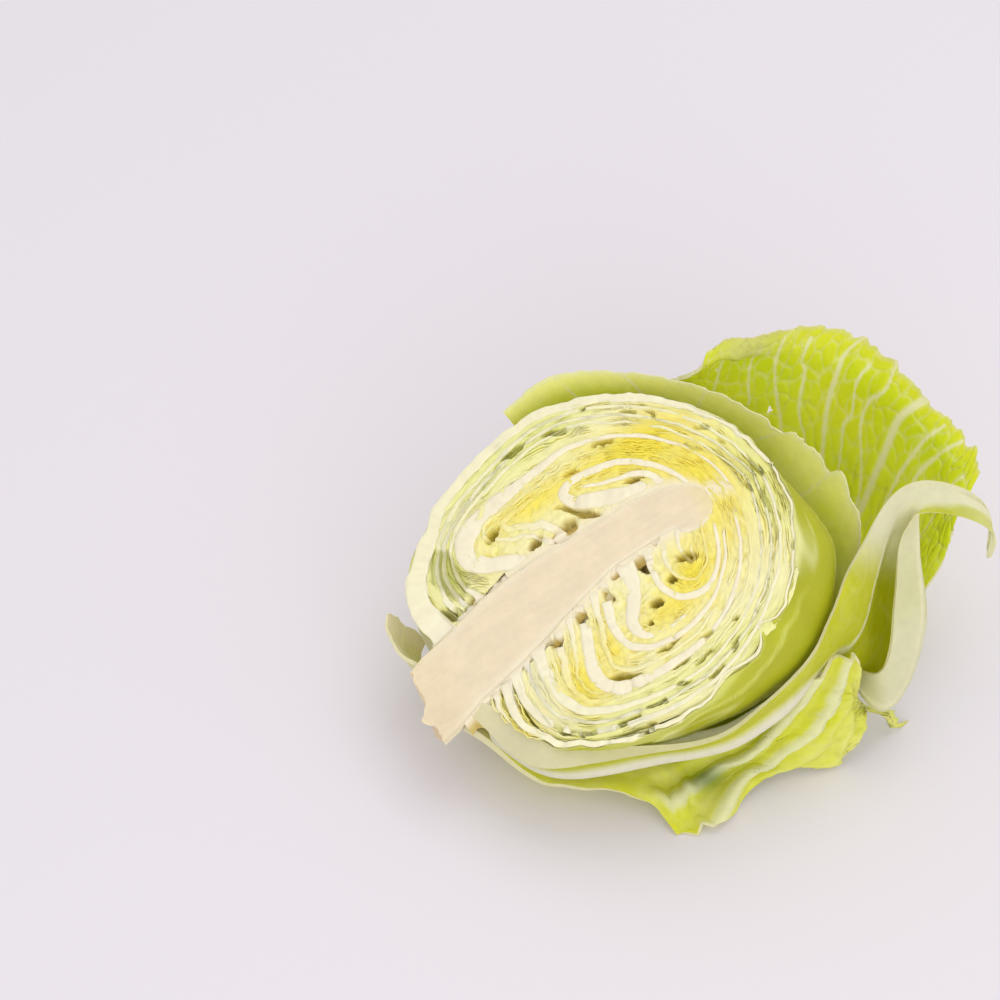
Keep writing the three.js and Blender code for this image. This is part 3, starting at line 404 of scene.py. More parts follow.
def add_edge(mesh, line, width, seed, depth=13, crinkle=(0, 5), step=1.0, tone=None, low=0.0, lean=0.0,
             rooted=False, blunt=False, torn_rim=False):
    """A leaf's cut edge along a line on the cut face, with the walls that go down from it.

    width is a list of thicknesses from its foot to its tip, crinkle the height and length of its waves, low
    how far it lies below the face, and lean how far its walls lean at the bottom. tone is the cut edge's
    colour. A rooted edge grows out of the core, a blunt one has a round end in place of a foot, and a torn
    rim strays as the outermost leaf does.
    """
    root = 0.0
    if rooted:
        foot = np.array(line[0], float)
        inward = (np.array([foot[0], core_line(foot[0])]) - foot) * 0.3
        root = np.linalg.norm(inward)
        line = [foot + inward, *line]
    _, length = by_length(line, 0)
    count = max(8, int(length / step))
    share = shares(count + 1)
    p = by_length(line, share)[0]
    ahead = np.gradient(p, axis=0)
    ahead /= np.maximum(np.linalg.norm(ahead, axis=1, keepdims=True), 1e-9)
    out = np.stack([-ahead[:, 1], ahead[:, 0]], -1)
    s = share * length
    height, wave = crinkle
    fade = smooth(share / 0.06) * smooth((1 - share) / 0.03)
    swing = height * fade * (noise_along(s, wave, seed) + 0.45 * noise_along(s, wave * 0.42, seed + 1))
    thick = np.interp(share, np.linspace(0, 1, len(width)), width)
    thin_tip = 0.35 + 0.65 * smooth((1 - share) * length / 2.5)
    thick = thick * (1 + 0.16 * noise_along(s, 9, seed + 2)) * thin_tip
    if rooted:
        thick = thick + 3.2 * np.exp(-np.abs(s - root) / 1.8)
    if blunt:
        thick = thick * np.sqrt(np.clip(1 - (1 - np.minimum(s / (0.5 * thick[0]), 1)) ** 2, 0.02, 1))
    if torn_rim:
        outwards = p - HEART_CENTRE
        swing = swing + rim_shift(p[:, 0], p[:, 1]) * np.sign((out * outwards).sum(1)) * smooth(share / 0.12)
    centre = p + out * swing[:, None]
    a, b = centre[:, 0], centre[:, 1]
    hollowed = hollow(a, b) * (1 - torn_rim * smooth((-50 - a) / 10))
    top = -low - 0.25 - 0.3 * noise_along(s, 7, seed + 3) - hollowed
    if rooted:
        top = mix(top, -0.4, np.exp(-(np.maximum(0, s - root) / 2.5) ** 2)) - 0.9 * smooth((root - s) / 1.6)
    tip_lean = lean + 0.9 * noise_along(s, 11, seed + 4)
    grid = np.zeros((count + 1, len(SECTION), 3))
    colour = np.zeros_like(grid)
    cut = layer_colour(a, b) if tone is None else np.broadcast_to(tone, (count + 1, 3))
    wall = blade_colour(a, b)
    if tone is not None:
        wall = mix(wall, tone, np.clip((thick - 2.0) / 5, 0, 0.75)[:, None])
    if rooted:
        near = np.exp(-np.maximum(0, s - root) / 20)[:, None]
        cut, wall = mix(cut, RIB_WHITE, near), mix(wall, RIB_WHITE, 0.6 * near)
        near = np.exp(-np.maximum(0, s - root) / 4)[:, None]
        cut, wall = mix(cut, FOOT_CREAM, near), mix(wall, FOOT_CREAM, 0.8 * near)
    streak = noise(np.stack([a, b], -1), 2.2, seed + 5)[:, None]
    for k, (side, wide, deep) in enumerate(SECTION):
        across = side * wide * thick / 2 + (wide == 1) * tip_lean * deep**1.3
        grid[:, k, :2] = centre + out * across[:, None]
        grid[:, k, 2] = top - deep * depth
        # Below the cut edge the walls take painted shade, darker and greener with their depth.
        shade = painted_depth_shade(wall, a, b, deep * depth * np.ones_like(a))
        colour[:, k] = cut if wide < 1 else mix(cut, shade, smooth(deep * depth / 1.2))
        colour[:, k] *= 1 + 0.05 * streak
    grid = closing(grid)
    mesh.add_grid(grid if torn_rim else under_wrapper(grid), colour)


def between(outer, inner, share, seed, wander=1.0):
    """A line between two guide lines, with a slow wander."""
    t = shares(60)
    o, i = by_length(outer, t)[0], by_length(inner, t)[0]
    s = share + wander * noise_along(t * 8, 1, seed)[:, None] / 10
    return mix(o, i, s)


def add_band(mesh, outer, inner, count, seed, crinkle):
    """Crinkled layers that fill the room between two guide lines."""
    for k in range(count):
        share = (k + 0.5) / count
        line = between(outer, inner, share, seed + 31 * k)
        add_edge(mesh, line, BAND_THICK, seed + 31 * k + 7, 11, crinkle, step=0.7, low=0.2 + 0.5 * (k % 2))


def add_patch(mesh, outer, inner, depths, bulge, colours, seed):
    """A smooth blade seen face on in a hollow, between two guide lines at two depths."""
    u, v = map(shares, PATCH_GRID)
    o, i = by_length(outer, u)[0], by_length(inner, u)[0]
    grid = np.zeros((len(u), len(v), 3))
    grid[..., :2] = mix(o[:, None], i[:, None], v[None, :, None])
    ends = smooth(u / 0.15) * smooth((1 - u) / 0.15)
    grid[..., 2] = -(mix(depths[0], depths[1], v[None]) + bulge * np.sin(np.pi * v[None]) * ends[:, None])
    grid[..., 2] += 0.5 * noise(grid[..., :2], 7, seed) + 0.15 * noise(grid[..., :2], 2.2, seed + 1)
    colour = mix(colours[0], colours[1], smooth(v)[None, :, None])
    colour = colour * (1 + 0.07 * noise(grid[..., :2], 3, seed + 2)[..., None])
    mesh.add_grid(grid, colour)


# The room of the thin layers on the cut face: the line along its outside, and the one along its inside.
OUTER_GUIDE = [(-73.5, 16), (-77, 30), (-77.5, 40), (-75, 48), (-70, 56), (-62, 64.5), (-50, 70.5),
               (-30, 78.5), (-10, 82.5), (5, 82.5), (20, 77.5), (40, 68), (50, 59.5), (60, 50), (68, 40),
               (74, 30), (78, 18), (80, 8), (80.5, -5), (79, -17), (76, -29), (70, -41), (60, -53),
               (48, -60.5), (38, -64), (24, -71), (8, -73), (-8, -72), (-24, -69), (-40, -65), (-52, -58.5),
               (-60, -48), (-62.5, -35), (-61, -20)]
INNER_GUIDE = [(-44, 25), (-52, 30.5), (-59, 36), (-61, 44), (-58, 52), (-50, 57), (-30, 61), (-12, 62),
               (5, 61.5), (20, 57.5), (36, 49.5), (49, 38), (57, 26), (62, 13), (63.5, 0), (61.5, -14),
               (56, -27), (47, -38.5), (35, -47), (22, -52.5), (5, -55.5), (-12, -55.5), (-28, -54),
               (-38, -50), (-43, -42), (-44, -30), (-40, -16)]
BAND_THICK = (0.8, 0.7, 0.5)
LAYERS = 9  # thin layers that stand out of the pressed ones
LAYER_HOSTS = ("wrapper_leaf_2", "wrapper_leaf_3", "wrapper_leaf_4")
RIDGES = 17  # pressed layers

# Each wrapper leaf: thickness of its rib at the foot on both sides and of its blade, how far it swells away
# from the head, and its cut edge on both sides of the core. edge gives the thickness of a cut edge from its
# foot to the crown.
WRAPPERS = {
    "wrapper_leaf_1": dict(
        rib=(11.6, 4.5), blade=2.2, swell=17,
        edge=dict(plus=[11.6, 10.5, 7, 5, 4.6, 4.4, 3.6, 2.4, 1.6], minus=[4.5, 2.4, 1.3, 1, 1.2]),
        plus=[(-81.6, 13.8), (-84.8, 27), (-83.6, 39.4), (-77.6, 50.4), (-67, 60.5), (-54, 69.5), (-36, 77),
              (-14, 82.6), (6, 83), (26, 76.5), (45, 65), (60, 51), (72, 34), (79.5, 17), (82.5, 1.5)],
        minus=[(-67, -20), (-69, -33), (-66, -46), (-57, -58), (-41, -68), (-20, -74), (2, -76), (22, -74),
               (42, -67), (58, -56), (70, -42), (78, -26), (82, -11), (82.5, 1.5)]),
    "wrapper_leaf_2": dict(
        rib=(3.6, 5), blade=1.8, swell=11,
        plus=[(-70.5, 17.6), (-74, 31), (-72.5, 43), (-65, 54.5), (-51, 64.5), (-31, 72.5), (-8, 77.6),
              (10, 77), (30, 69), (48, 57), (62, 41), (71.5, 23), (77.6, 1.5)],
        minus=[(-61, -17.6), (-62.5, -31), (-60.5, -42), (-54, -52.5), (-42, -61), (-25, -67), (0, -70.4),
               (20, -68.4), (38, -61.5), (54, -50), (66, -36), (74, -19), (77.6, 1.5)]),
    "wrapper_leaf_3": dict(
        rib=(2.6, 2.2), blade=1.4, swell=7,
        plus=[(-65.5, 19), (-69.5, 32), (-68.5, 43), (-61, 54), (-47, 62.5), (-29, 69.5), (-6, 74.2),
              (11, 73.4), (30, 65), (47, 52), (60, 36), (69, 19), (74, 1.5)],
        minus=[(-54.5, -16), (-56, -30), (-54.5, -41), (-49, -50.5), (-39, -58), (-23, -63.5), (0, -66.6),
               (20, -64.6), (37, -58), (52, -46.5), (63.5, -32), (70.8, -16), (74, 1.5)]),
    "wrapper_leaf_4": dict(
        rib=(2.6, 7), blade=1.4, swell=4,
        plus=[(-59.5, 20.6), (-64, 32), (-63.8, 43), (-57.5, 53.2), (-44.5, 61), (-27.5, 66.4), (-5, 70.6),
              (12, 69.6), (29, 61.5), (45.5, 48.5), (58, 32.5), (66, 16), (70.6, 1.5)],
        minus=[(-47.5, -14.5), (-48.5, -29), (-48, -40), (-43.5, -48.5), (-35, -55), (-20, -60), (0, -62.8),
               (20, -60.8), (36.5, -54), (51, -42.5), (61, -28), (67.8, -12.5), (70.6, 1.5)]),
}

# Each inner leaf: its line on the cut face, its thickness from the foot to the tip, and its waves.
INNER = {
    "folded_leaf_1": dict(
        slot="rib", width=[6, 8, 9, 9.5, 8, 5, 3.4, 2.6, 2, 1.8, 1.6, 1.4, 1.2],
        line=[(-36, 25), (-41, 28.5), (-49.5, 33), (-55.5, 40), (-54.5, 47.4), (-47.5, 52.8), (-36, 56),
              (-22, 58), (-4, 60), (10, 60.4), (25, 55.8), (40, 46), (52, 33), (60, 18), (63, 4)]),
    "heart_leaf_1": dict(
        slot="heart_leaf", width=[2.4, 2, 1.6, 1.2, 1, 0.9], crinkle=(0.8, 4),
        line=[(-19.5, 26), (-26.5, 33.5), (-36.5, 38.5), (-44, 43.5), (-43, 49), (-34, 51.5), (-20, 52.8),
              (-2, 54.2), (14, 54.2), (28, 49.8), (41.5, 40), (51.5, 27), (57.6, 12), (59.4, -3)]),
    "heart_leaf_2": dict(
        slot="heart_leaf", width=[5, 3.6, 2, 1.4, 1, 0.9], crinkle=(0.7, 4),
        line=[(-14.5, 26), (-15.5, 32.5), (-23.5, 38), (-33, 42.4), (-34.5, 46.6), (-23, 48.2), (-8, 49.2),
              (8, 49.8), (24, 46), (37.5, 37.2), (47.4, 25), (53.6, 11), (55.6, -4)]),
    "folded_leaf_2": dict(
        slot="rib", width=[5.5, 7.5, 8, 6, 4.6, 4.2, 3.4, 3, 2.4, 1.6],
        line=[(31, 24.5), (17, 28), (6, 32.5), (-2, 38), (-3.6, 42.6), (1.5, 45.4), (13, 44.9), (25, 41.4),
              (35, 34.2), (43, 24.5), (47.5, 14)]),
    "tip_leaf": dict(
        slot="rib", width=[3, 2.6, 2.2, 1.6],
        line=[(36.5, 21.8), (35.4, 27), (30, 31.8), (21, 34.8), (12, 37.6), (5, 40.6)]),
    "heart_leaf_3": dict(
        slot="heart_leaf", width=[4.4, 3.4, 2, 1.6, 1.2, 1], crinkle=(0.6, 5),
        line=[(-34.6, -12.2), (-39, -25), (-41.8, -37.6), (-39, -46.6), (-31, -52.2), (-15, -56.2),
              (2, -57.8), (20, -55.6), (35.6, -48.8), (49, -38), (57.6, -24.6), (62.4, -11)]),
    "heart_leaf_4": dict(
        slot="heart_leaf", width=[3, 2.4, 1.8, 1.2], crinkle=(0.8, 4),
        line=[(-28, -9.8), (-32.4, -24), (-36.4, -36), (-35.6, -44), (-31, -48.4)]),
    "ribbed_leaf_1": dict(
        slot="rib", width=[5.5, 6.5, 7, 6, 4, 2.8, 2, 1.6, 1.4],
        line=[(-20.5, -7.5), (-24.5, -20), (-28.5, -32), (-29.4, -42), (-24, -49.6), (-12, -52.8),
              (4, -53.4), (20, -51.4), (35, -44.6), (46.5, -34), (54.5, -21), (58.6, -7)]),
    "heart_leaf_5": dict(
        slot="heart_leaf", width=[3.6, 2.8, 2, 1.4, 1.2], crinkle=(0.5, 5),
        line=[(-13.5, -5.2), (-16.5, -18), (-20, -30), (-20.5, -40), (-14.5, -46), (-3, -48.4), (8, -48.8),
              (20, -46.6), (31, -41.6)]),
    "ribbed_leaf_2": dict(
        slot="rib", width=[4.6, 4.4, 3.8, 3.2, 2.6, 2, 1.6, 1.2],
        line=[(-7, -3), (-10.6, -14), (-12.6, -26), (-10.8, -35), (-3.6, -41.2), (8, -43.6), (22, -41.8),
              (35, -35), (44.6, -25), (50.6, -13)]),
    "ribbed_leaf_3": dict(
        slot="rib", width=[7, 8.5, 8, 6.5, 3.2, 2, 1.6],
        line=[(5, -2), (4, -12), (0.5, -20), (-4.6, -28), (-2.6, -35), (6, -38.6), (18, -37.6)]),
    "ribbed_leaf_4": dict(
        slot="rib", width=[3.4, 3.2, 3, 3.4, 2.6, 2, 1.5],
        line=[(17, -1.6), (14.6, -12), (15, -22), (20, -29.6), (29, -32.2), (38, -28), (44.4, -19),
              (48.4, -8)]),
    "bud_leaf_1": dict(
        slot="heart_leaf", width=[2.8, 2, 1.5, 1.2], crinkle=(0.4, 4),
        line=[(24.5, -1.6), (21.6, -11), (22.8, -20), (29, -25.4), (36, -22.4), (40.4, -14), (43.4, -4)]),
    "bud_leaf_2": dict(
        slot="heart_leaf", width=[2.6, 2, 1.4], crinkle=(0.4, 4),
        line=[(32.6, -1.6), (29.6, -9), (31.6, -16.6), (34.6, -11)]),
    "axil_leaf": dict(
        slot="heart_leaf", width=[2.2, 1.8, 1.2], crinkle=(0.6, 4),
        line=[(-73.4, -22.4), (-74, -30), (-72.6, -38)]),
}

# Crinkled layers between two guide lines: piece, outer line, inner line, how many, crinkle.
BANDS = [
    ("heart_leaf_1", [(-44, 46), (-30, 52), (-10, 55.5), (5, 56), (20, 51), (35, 42)],
     [(-38, 41), (-25, 43.5), (-12, 46.5), (0, 48), (12, 48), (25, 44.5), (38, 36)], 6, (0.8, 3.6)),
    ("heart_leaf_2", [(20, 55), (36, 47), (49, 36), (57, 24), (61, 12), (62, 0), (60, -12)],
     [(22, 43.5), (32, 38.5), (41, 31), (47.5, 23), (52, 13), (53.5, 4), (52.5, -6), (49, -14)], 8,
     (0.6, 3.2)),
    ("axil_leaf", [(-76, -22), (-77, -31), (-73.5, -40), (-68.5, -47), (-62, -54)],
     [(-66, -22), (-64.5, -32), (-65, -40), (-63.5, -47), (-60, -52)], 6, (0.8, 3.4)),
    ("heart_leaf_3", [(-57, -22), (-57.5, -36), (-54.5, -46), (-48, -53)],
     [(-51.5, -20), (-52, -34), (-50, -44), (-45.5, -50)], 3, (0.8, 3.6)),
    ("heart_leaf_4", [(-40, -18), (-44, -32), (-43.5, -42), (-37, -50), (-26, -54)],
     [(-30, -16), (-33.5, -29), (-34.5, -39), (-31.5, -46), (-25, -51)], 6, (0.9, 3.4)),
    ("heart_leaf_5", [(-22, -14), (-25, -28), (-25.5, -38), (-19.5, -46), (-8, -49.5)],
     [(-14, -12), (-16.5, -26), (-17, -36), (-11, -43), (-1, -46)], 5, (0.7, 3.6)),
    ("ribbed_leaf_3", [(-3, -27), (-1.5, -34), (6, -37), (18, -36)],
     [(10, -22), (9, -28), (14, -32), (24, -33.5)], 5, (0.9, 3.2)),
    ("bud_leaf_1", [(19, -20), (24, -28), (32, -27.5), (39, -20), (43.5, -9)],
     [(27, -10), (28.5, -17), (32, -18), (35.5, -12), (38, -4)], 6, (0.8, 3.0)),
    ("ribbed_leaf_4", [(34, -46), (47, -36), (56, -22), (60.5, -8), (61, 4)],
     [(40, -34), (46, -26), (50.5, -16), (53.5, -4), (54, 6)], 5, (0.6, 3.6)),
    ("folded_leaf_2", [(0, 43.5), (12, 43.2), (24, 39.2), (33, 33)],
     [(4, 41), (13, 40), (22, 36.8), (30, 32)], 3, (0.4, 3.0)),
]

# The blade that lies bare in the deep hollow beside the core's foot: its outer and inner guide lines.
PATCH = ([(-76, 25), (-79.5, 38), (-74.5, 49), (-66, 58.5), (-56, 66)],
         [(-70, 23), (-66.5, 33), (-64.5, 43), (-60.5, 51), (-53, 58)])

# Rows and columns of points.
PATCH_GRID, WRAPPER_GRID, OUTERMOST_GRID = (60, 14), (40, 50), (120, 140)
PRESSED_GRID, HEART_GRID = (120, 400), (140, 215)
CORE_ROWS, TOP_COLUMNS, SKIRT_COLUMNS, UNDER_COLUMNS, END_ROWS = 240, 54, 16, 30, 8


def add_layers(meshes):
    """The many thin layers between the outermost leaf and the heart, in pieces that end here and there."""
    rng = np.random.default_rng(4)
    last = 399
    for k in range(LAYERS):
        share = (k + 0.4) / LAYERS
        line = between(OUTER_GUIDE, INNER_GUIDE, share, 900 + k, wander=1.2)
        whole = by_length(line, shares(last + 1))[0]
        host = meshes[LAYER_HOSTS[int(share * len(LAYER_HOSTS))]]
        start = 0.0
        while start < 0.97:
            end = min(1.0, start + rng.uniform(0.08, 0.34))
            if end > 0.93:
                end = 1.0
            cut = whole[int(start * last):int(end * last) + 1:6]
            if len(cut) > 4:
                thick = rng.uniform(0.5, 1.5)
                height = mix(0.5, 1.0, share) * rng.uniform(0.7, 1.4)
                middle = cut[len(cut) // 2]
                tone = layer_colour(middle[0], middle[1]) * rng.uniform(0.97, 1.05)
                tone = mix(tone, PALE_GREEN, rng.uniform(0, 0.4))
                add_edge(host, cut, [0.1, thick, thick * rng.uniform(0.8, 1.5), 0.1],
                         int(rng.integers(1 << 20)), depth=12, crinkle=(height, rng.uniform(3.5, 8)),
                         low=rng.uniform(0.1, 1.0), lean=rng.uniform(-1.2, 1.2), tone=tone)
            start = end + rng.uniform(0.0, 0.05)


# ---- Materials ----
def node(tree, kind, settings=None, **inputs):
    """A shader node with its settings, and its inputs set to values or linked to other nodes' outputs."""
    made = tree.nodes.new("ShaderNode" + kind)
    for name, value in (settings or {}).items():
        setattr(made, name, value)
    for name, value in inputs.items():
        socket = made.inputs[name.replace("_", " ")]
        if isinstance(value, bpy.types.NodeSocket):
            tree.links.new(value, socket)
        else:
            socket.default_value = value
    return made


def leaf_material(name, roughness, specular, subsurface, light_through, bump, grain):
    """Colour from the piece's tint, with a fine mottle, a fine grain in relief and light coming through."""
    material = bpy.data.materials.new(name)
    material.use_nodes = True
    tree = material.node_tree
    tree.nodes.clear()
    tint = node(tree, "VertexColor", {"layer_name": "tint"})
    place_at = node(tree, "TexCoord").outputs["Object"]
    mottle = node(tree, "TexNoise", Vector=place_at, Scale=260, Detail=3)
    level = node(tree, "MapRange", Value=mottle.outputs["Fac"], To_Min=0.93, To_Max=1.06)
    shaded = node(tree, "VectorMath", {"operation": "SCALE"},
                  Vector=tint.outputs["Color"], Scale=level.outputs["Result"])
    colour = shaded.outputs["Vector"]
    fine = node(tree, "TexNoise", Vector=place_at, Scale=grain, Detail=4)
    relief = node(tree, "Bump", Height=fine.outputs["Fac"], Strength=bump, Distance=0.0006)
    surface = node(tree, "BsdfPrincipled", Base_Color=colour, Normal=relief.outputs["Normal"],
                   Roughness=roughness, Specular_IOR_Level=specular, Subsurface_Weight=subsurface,
                   Subsurface_Radius=(0.8, 0.8, 0.75), Subsurface_Scale=0.0012)
    shown = surface.outputs["BSDF"]
    if light_through:
        through = node(tree, "BsdfTranslucent", Color=colour)
        both = node(tree, "MixShader", Fac=light_through)
        tree.links.new(shown, both.inputs[1])
        tree.links.new(through.outputs["BSDF"], both.inputs[2])
        shown = both.outputs["Shader"]
    node(tree, "OutputMaterial", Surface=shown)
    return material


CUT = leaf_material("cut_leaf", roughness=0.42, specular=0.3, subsurface=0.4, light_through=0, bump=0.25,
                    grain=900)
CORE = leaf_material("cut_core", roughness=0.5, specular=0.3, subsurface=0.3, light_through=0, bump=0.35,
                     grain=700)
BLADE = leaf_material("leaf_blade", roughness=0.46, specular=0.25, subsurface=0, light_through=0.36,
                      bump=0.3, grain=800)


# ---- Core ----
def stump_waves(turn):
    """How far the broken stem end stands out at a turn about the core, in degrees."""
    return 2.2 * np.sin(np.radians(turn * 2.3)) + 1.5 * np.cos(np.radians(turn * 5))


def core_top(a, radius, ragged):
    """The cut face of the core and its colour, with a round swelling beside its tip."""
    v = np.linspace(-1, 1, TOP_COLUMNS)
    swelling = 6.5 * np.sqrt(np.clip(1 - ((a - 45) / 12) ** 2, 0, 1))
    grid = np.zeros((len(a), len(v), 3))
    grid[..., 0] = a[:, None]
    grid[..., 1] = core_line(a)[:, None] + (radius + 0.5)[:, None] * v[None]
    grid[..., 1] -= swelling[:, None] * smooth((0.2 - v) / 1.2)[None]
    fibres = noise(grid[..., :2] / [14, 1], 1.4, 71)
    grid[..., 2] = -0.25 + 0.1 * noise(grid[..., :2], 5, 72) + 0.05 * fibres
    grid[..., 2] -= 0.5 * smooth((np.abs(v[None]) - 0.86) / 0.14)
    grid[..., 0] += ragged * (stump_waves((1 - v) * 90) + 0.8 * noise_along(v * 20, 2, 73))[None]
    along = grid[..., :1]
    colour = mix(CORE_CREAM, FOOT_CREAM, smooth((np.abs(v) - 0.7) / 0.3)[None, :, None])
    colour = mix(colour, CORE_FOOT, 0.5 * smooth((-78 - along) / 20))
    colour = colour * (1 + 0.025 * fibres + 0.03 * noise(grid[..., :2], 9, 74))[..., None]
    return grid, mix(colour, CORE_TIP, 0.3 * smooth((along - 40) / 12))


def add_core_skirt(mesh, a, radius, side, along):
    """The rough flesh between one side of the core and the feet of the leaves there, with painted shade where
    it goes down into the gaps.
    """
    fleshy = smooth((-60 - a) / 6) * smooth((a + 88) / 9) if side < 0 else 0.8 * bell(a, -47, 9)
    fleshy = fleshy[:, None]
    out = shares(SKIRT_COLUMNS)[None] * (5 + 9 * fleshy)
    skirt = np.zeros((*out.shape, 3))
    skirt[..., 0] = along
    skirt[..., 1] = core_line(a)[:, None] + side * (radius[:, None] + 0.4 + out)
    rough = 1.3 * noise(skirt[..., :2], 2.4, 76) * smooth(out / 2)
    skirt[..., 2] = -0.7 - (0.9 - 0.5 * fleshy) * out - rough
    # Painted shade: the flesh darkens to brown as it goes down away from the core, except where it is fleshy.
    tone = mix(FOOT_CREAM, CORE_SKIRT_SHADE, (smooth(out / 4) * (1 - fleshy))[..., None])
    beside = a[1:-1, None]
    keep = (beside > (-92 if side < 0 else -70)) & (beside < 60) & (out[1:-1, 1:] > 0)
    mesh.add_grid(skirt[1:], tone[1:], keep, flip=side < 0)


def build_core():
    """The cut stalk, with the flesh beside it, its round underside and its broken stem end."""
    mesh = Mesh()
    a = np.linspace(CORE_RADIUS[0, 0], CORE_RADIUS[-1, 0], CORE_ROWS)
    radius = core_radius(a) * (1 + 0.012 * noise_along(a, 6, 70))
    ragged = smooth((a[0] + 7 - a) / 7)[:, None]
    top, colour = core_top(a, radius, ragged)
    mesh.add_grid(top, colour)
    for side in (-1, 1):
        add_core_skirt(mesh, a, radius, side, top[:, :1, 0])
    turn = np.linspace(0, 180, UNDER_COLUMNS)
    under = round_core(a[:, None], radius[:, None], turn[None])
    under[..., 0] += ragged * (stump_waves(turn)[None] + under[..., 2] * 0.12)
    under[..., 2] -= 0.7 * (a > 25)[:, None]
    mesh.add_grid(under, mix(RIB_WHITE, CORE_SIDE, smooth(-under[..., 2:] / 12)), flip=True)
    hub = np.array([under[0, :, 0].mean(), core_line(a[0]), -6.0])
    inwards = shares(END_ROWS)[:, None, None]
    end = mix(under[0][None], hub, inwards)
    end[1:-1, :, 0] += 0.7 * noise(end[1:-1, :, 1:], 2.5, 75)
    mesh.add_grid(end, STUMP_END)
    mesh.add_grid(mix(top[0][None], hub, inwards), STUMP_TOP)
    mesh.build("core_detail", "core", "core", CORE)


# ---- Wrapper leaves ----
def wrapper_surface(leaf, u, v):
    """Middle surface of a wrapper leaf at shares u from the core to the crown and v round the head."""
    p, m = by_length(leaf["plus"], u)[0], by_length(leaf["minus"], u)[0]
    share = ((1 + np.cos(np.pi * v)) / 2)[None]
    a = mix(m[:, :1], p[:, :1], share)
    away = mix(core_line(m[:, :1]) - m[:, 1:], p[:, 1:] - core_line(p[:, :1]), share)
    point = round_core(a, np.maximum(0, away), 180 * v[None])
    slack = (bell(v, SLACK_TURN / 180, 0.2) * smooth((1 - v) / 0.12))[None]
    slack = slack * (bell(u, SLACK_ALONG, 0.26) * smooth((1 - u) / 0.18))[:, None]
    return point + unit(point - HEAD_CENTRE) * leaf["swell"] * slack[..., None]


def wrapper_thickness(leaf, u, v):
    """Thickness of a wrapper leaf, which falls from its rib to its blade."""
    foot = mix(leaf["rib"][1], leaf["rib"][0], (((1 + np.cos(np.pi * v)) / 2) ** 2)[None])
    thin = 1 - 0.3 * smooth((u - 0.7) / 0.3)
    return mix(foot, leaf["blade"], smooth(u / 0.42)[:, None]) * thin[:, None]


def flank_marks(u, v, middle, depth, seed):
    """Relief of the outermost leaf's outside, its veins, and a second blade on it with a torn edge.

    The second blade starts below a wavy depth, and the band above it is bare.
    """
    vein = (1 - smooth(np.abs(noise(on_grid(u * 3, v * 30), 1, seed)) / 0.2)) * smooth(depth / 8)
    edge_at = 15 + 9 * noise_along(u * 7, 1, seed + 5) + 1.6 * noise_along(u * 34, 1, seed + 6)
    past = (depth - edge_at[:, None]) * np.where(v > 0.5, 1, 99)[None]
    shown = (smooth((u - 0.12) / 0.1) * smooth((0.8 - u) / 0.15))[:, None]
    relief = 0.25 * vein + 0.6 * noise(middle, 15, seed + 1) + 0.15 * noise(middle, 4, seed + 2)
    relief = relief + 0.8 * smooth(past / 0.8) * shown
    return relief, vein, bell(past, 0.6, 0.9) * shown, (1 - smooth(past / 0.5)) * shown


def add_wrapper(mesh, leaf, seed, outermost=False):
    """A half shell round the head."""
    u, w = map(shares, OUTERMOST_GRID if outermost else WRAPPER_GRID)
    v = mix(w, smooth(w), 0.6)
    middle = wrapper_surface(leaf, u, v)
    normal = normals_of(middle)
    half = wrapper_thickness(leaf, u, v)[..., None] / 2
    depth = -middle[..., 2]
    relief = vein = torn = bare = np.zeros_like(depth)
    if outermost:
        relief, vein, torn, bare = flank_marks(u, v, middle, depth, seed)
        strayed = rim_shift(middle[..., 0], middle[..., 1]) * np.exp(-depth / 5) * smooth(u / 0.12)[:, None]
        middle = middle + unit(middle - HEAD_CENTRE) * strayed[..., None]
    inner = clear_of_core(middle - normal * half)
    outer = clear_of_core(middle + normal * (half + relief[..., None]))
    for face in (inner, outer):
        for rim in (face[:, 0], face[:, -1]):
            rim[:, 2] = -1.6 - hollow(rim[:, 0], rim[:, 1])
    streak = smooth(noise(on_grid(u * 6, v * 16), 1, seed + 4) / 0.6)
    outside = mix(FLANK_PALE, FLANK_GREEN, smooth(depth / (3 + 7 * streak))[..., None])
    outside = mix(outside, FLANK_DEEP, smooth((depth - 10) / 36)[..., None])
    outside = mix(outside, VEIN, (0.2 * vein + 0.32 * streak)[..., None])
    outside = mix(mix(outside, FLANK_BARE, 0.6 * bare[..., None]), FLANK_TORN, 0.5 * torn[..., None])
    outside = outside * (1 + 0.05 * noise(middle, 9, seed + 3)[..., None])
    inside = mix(PALE_GREEN, FRESH_GREEN, 0.8 * smooth(depth / 5)[..., None])
    add_blade(mesh, outer, inner, outside, inside, PALE_GREEN)


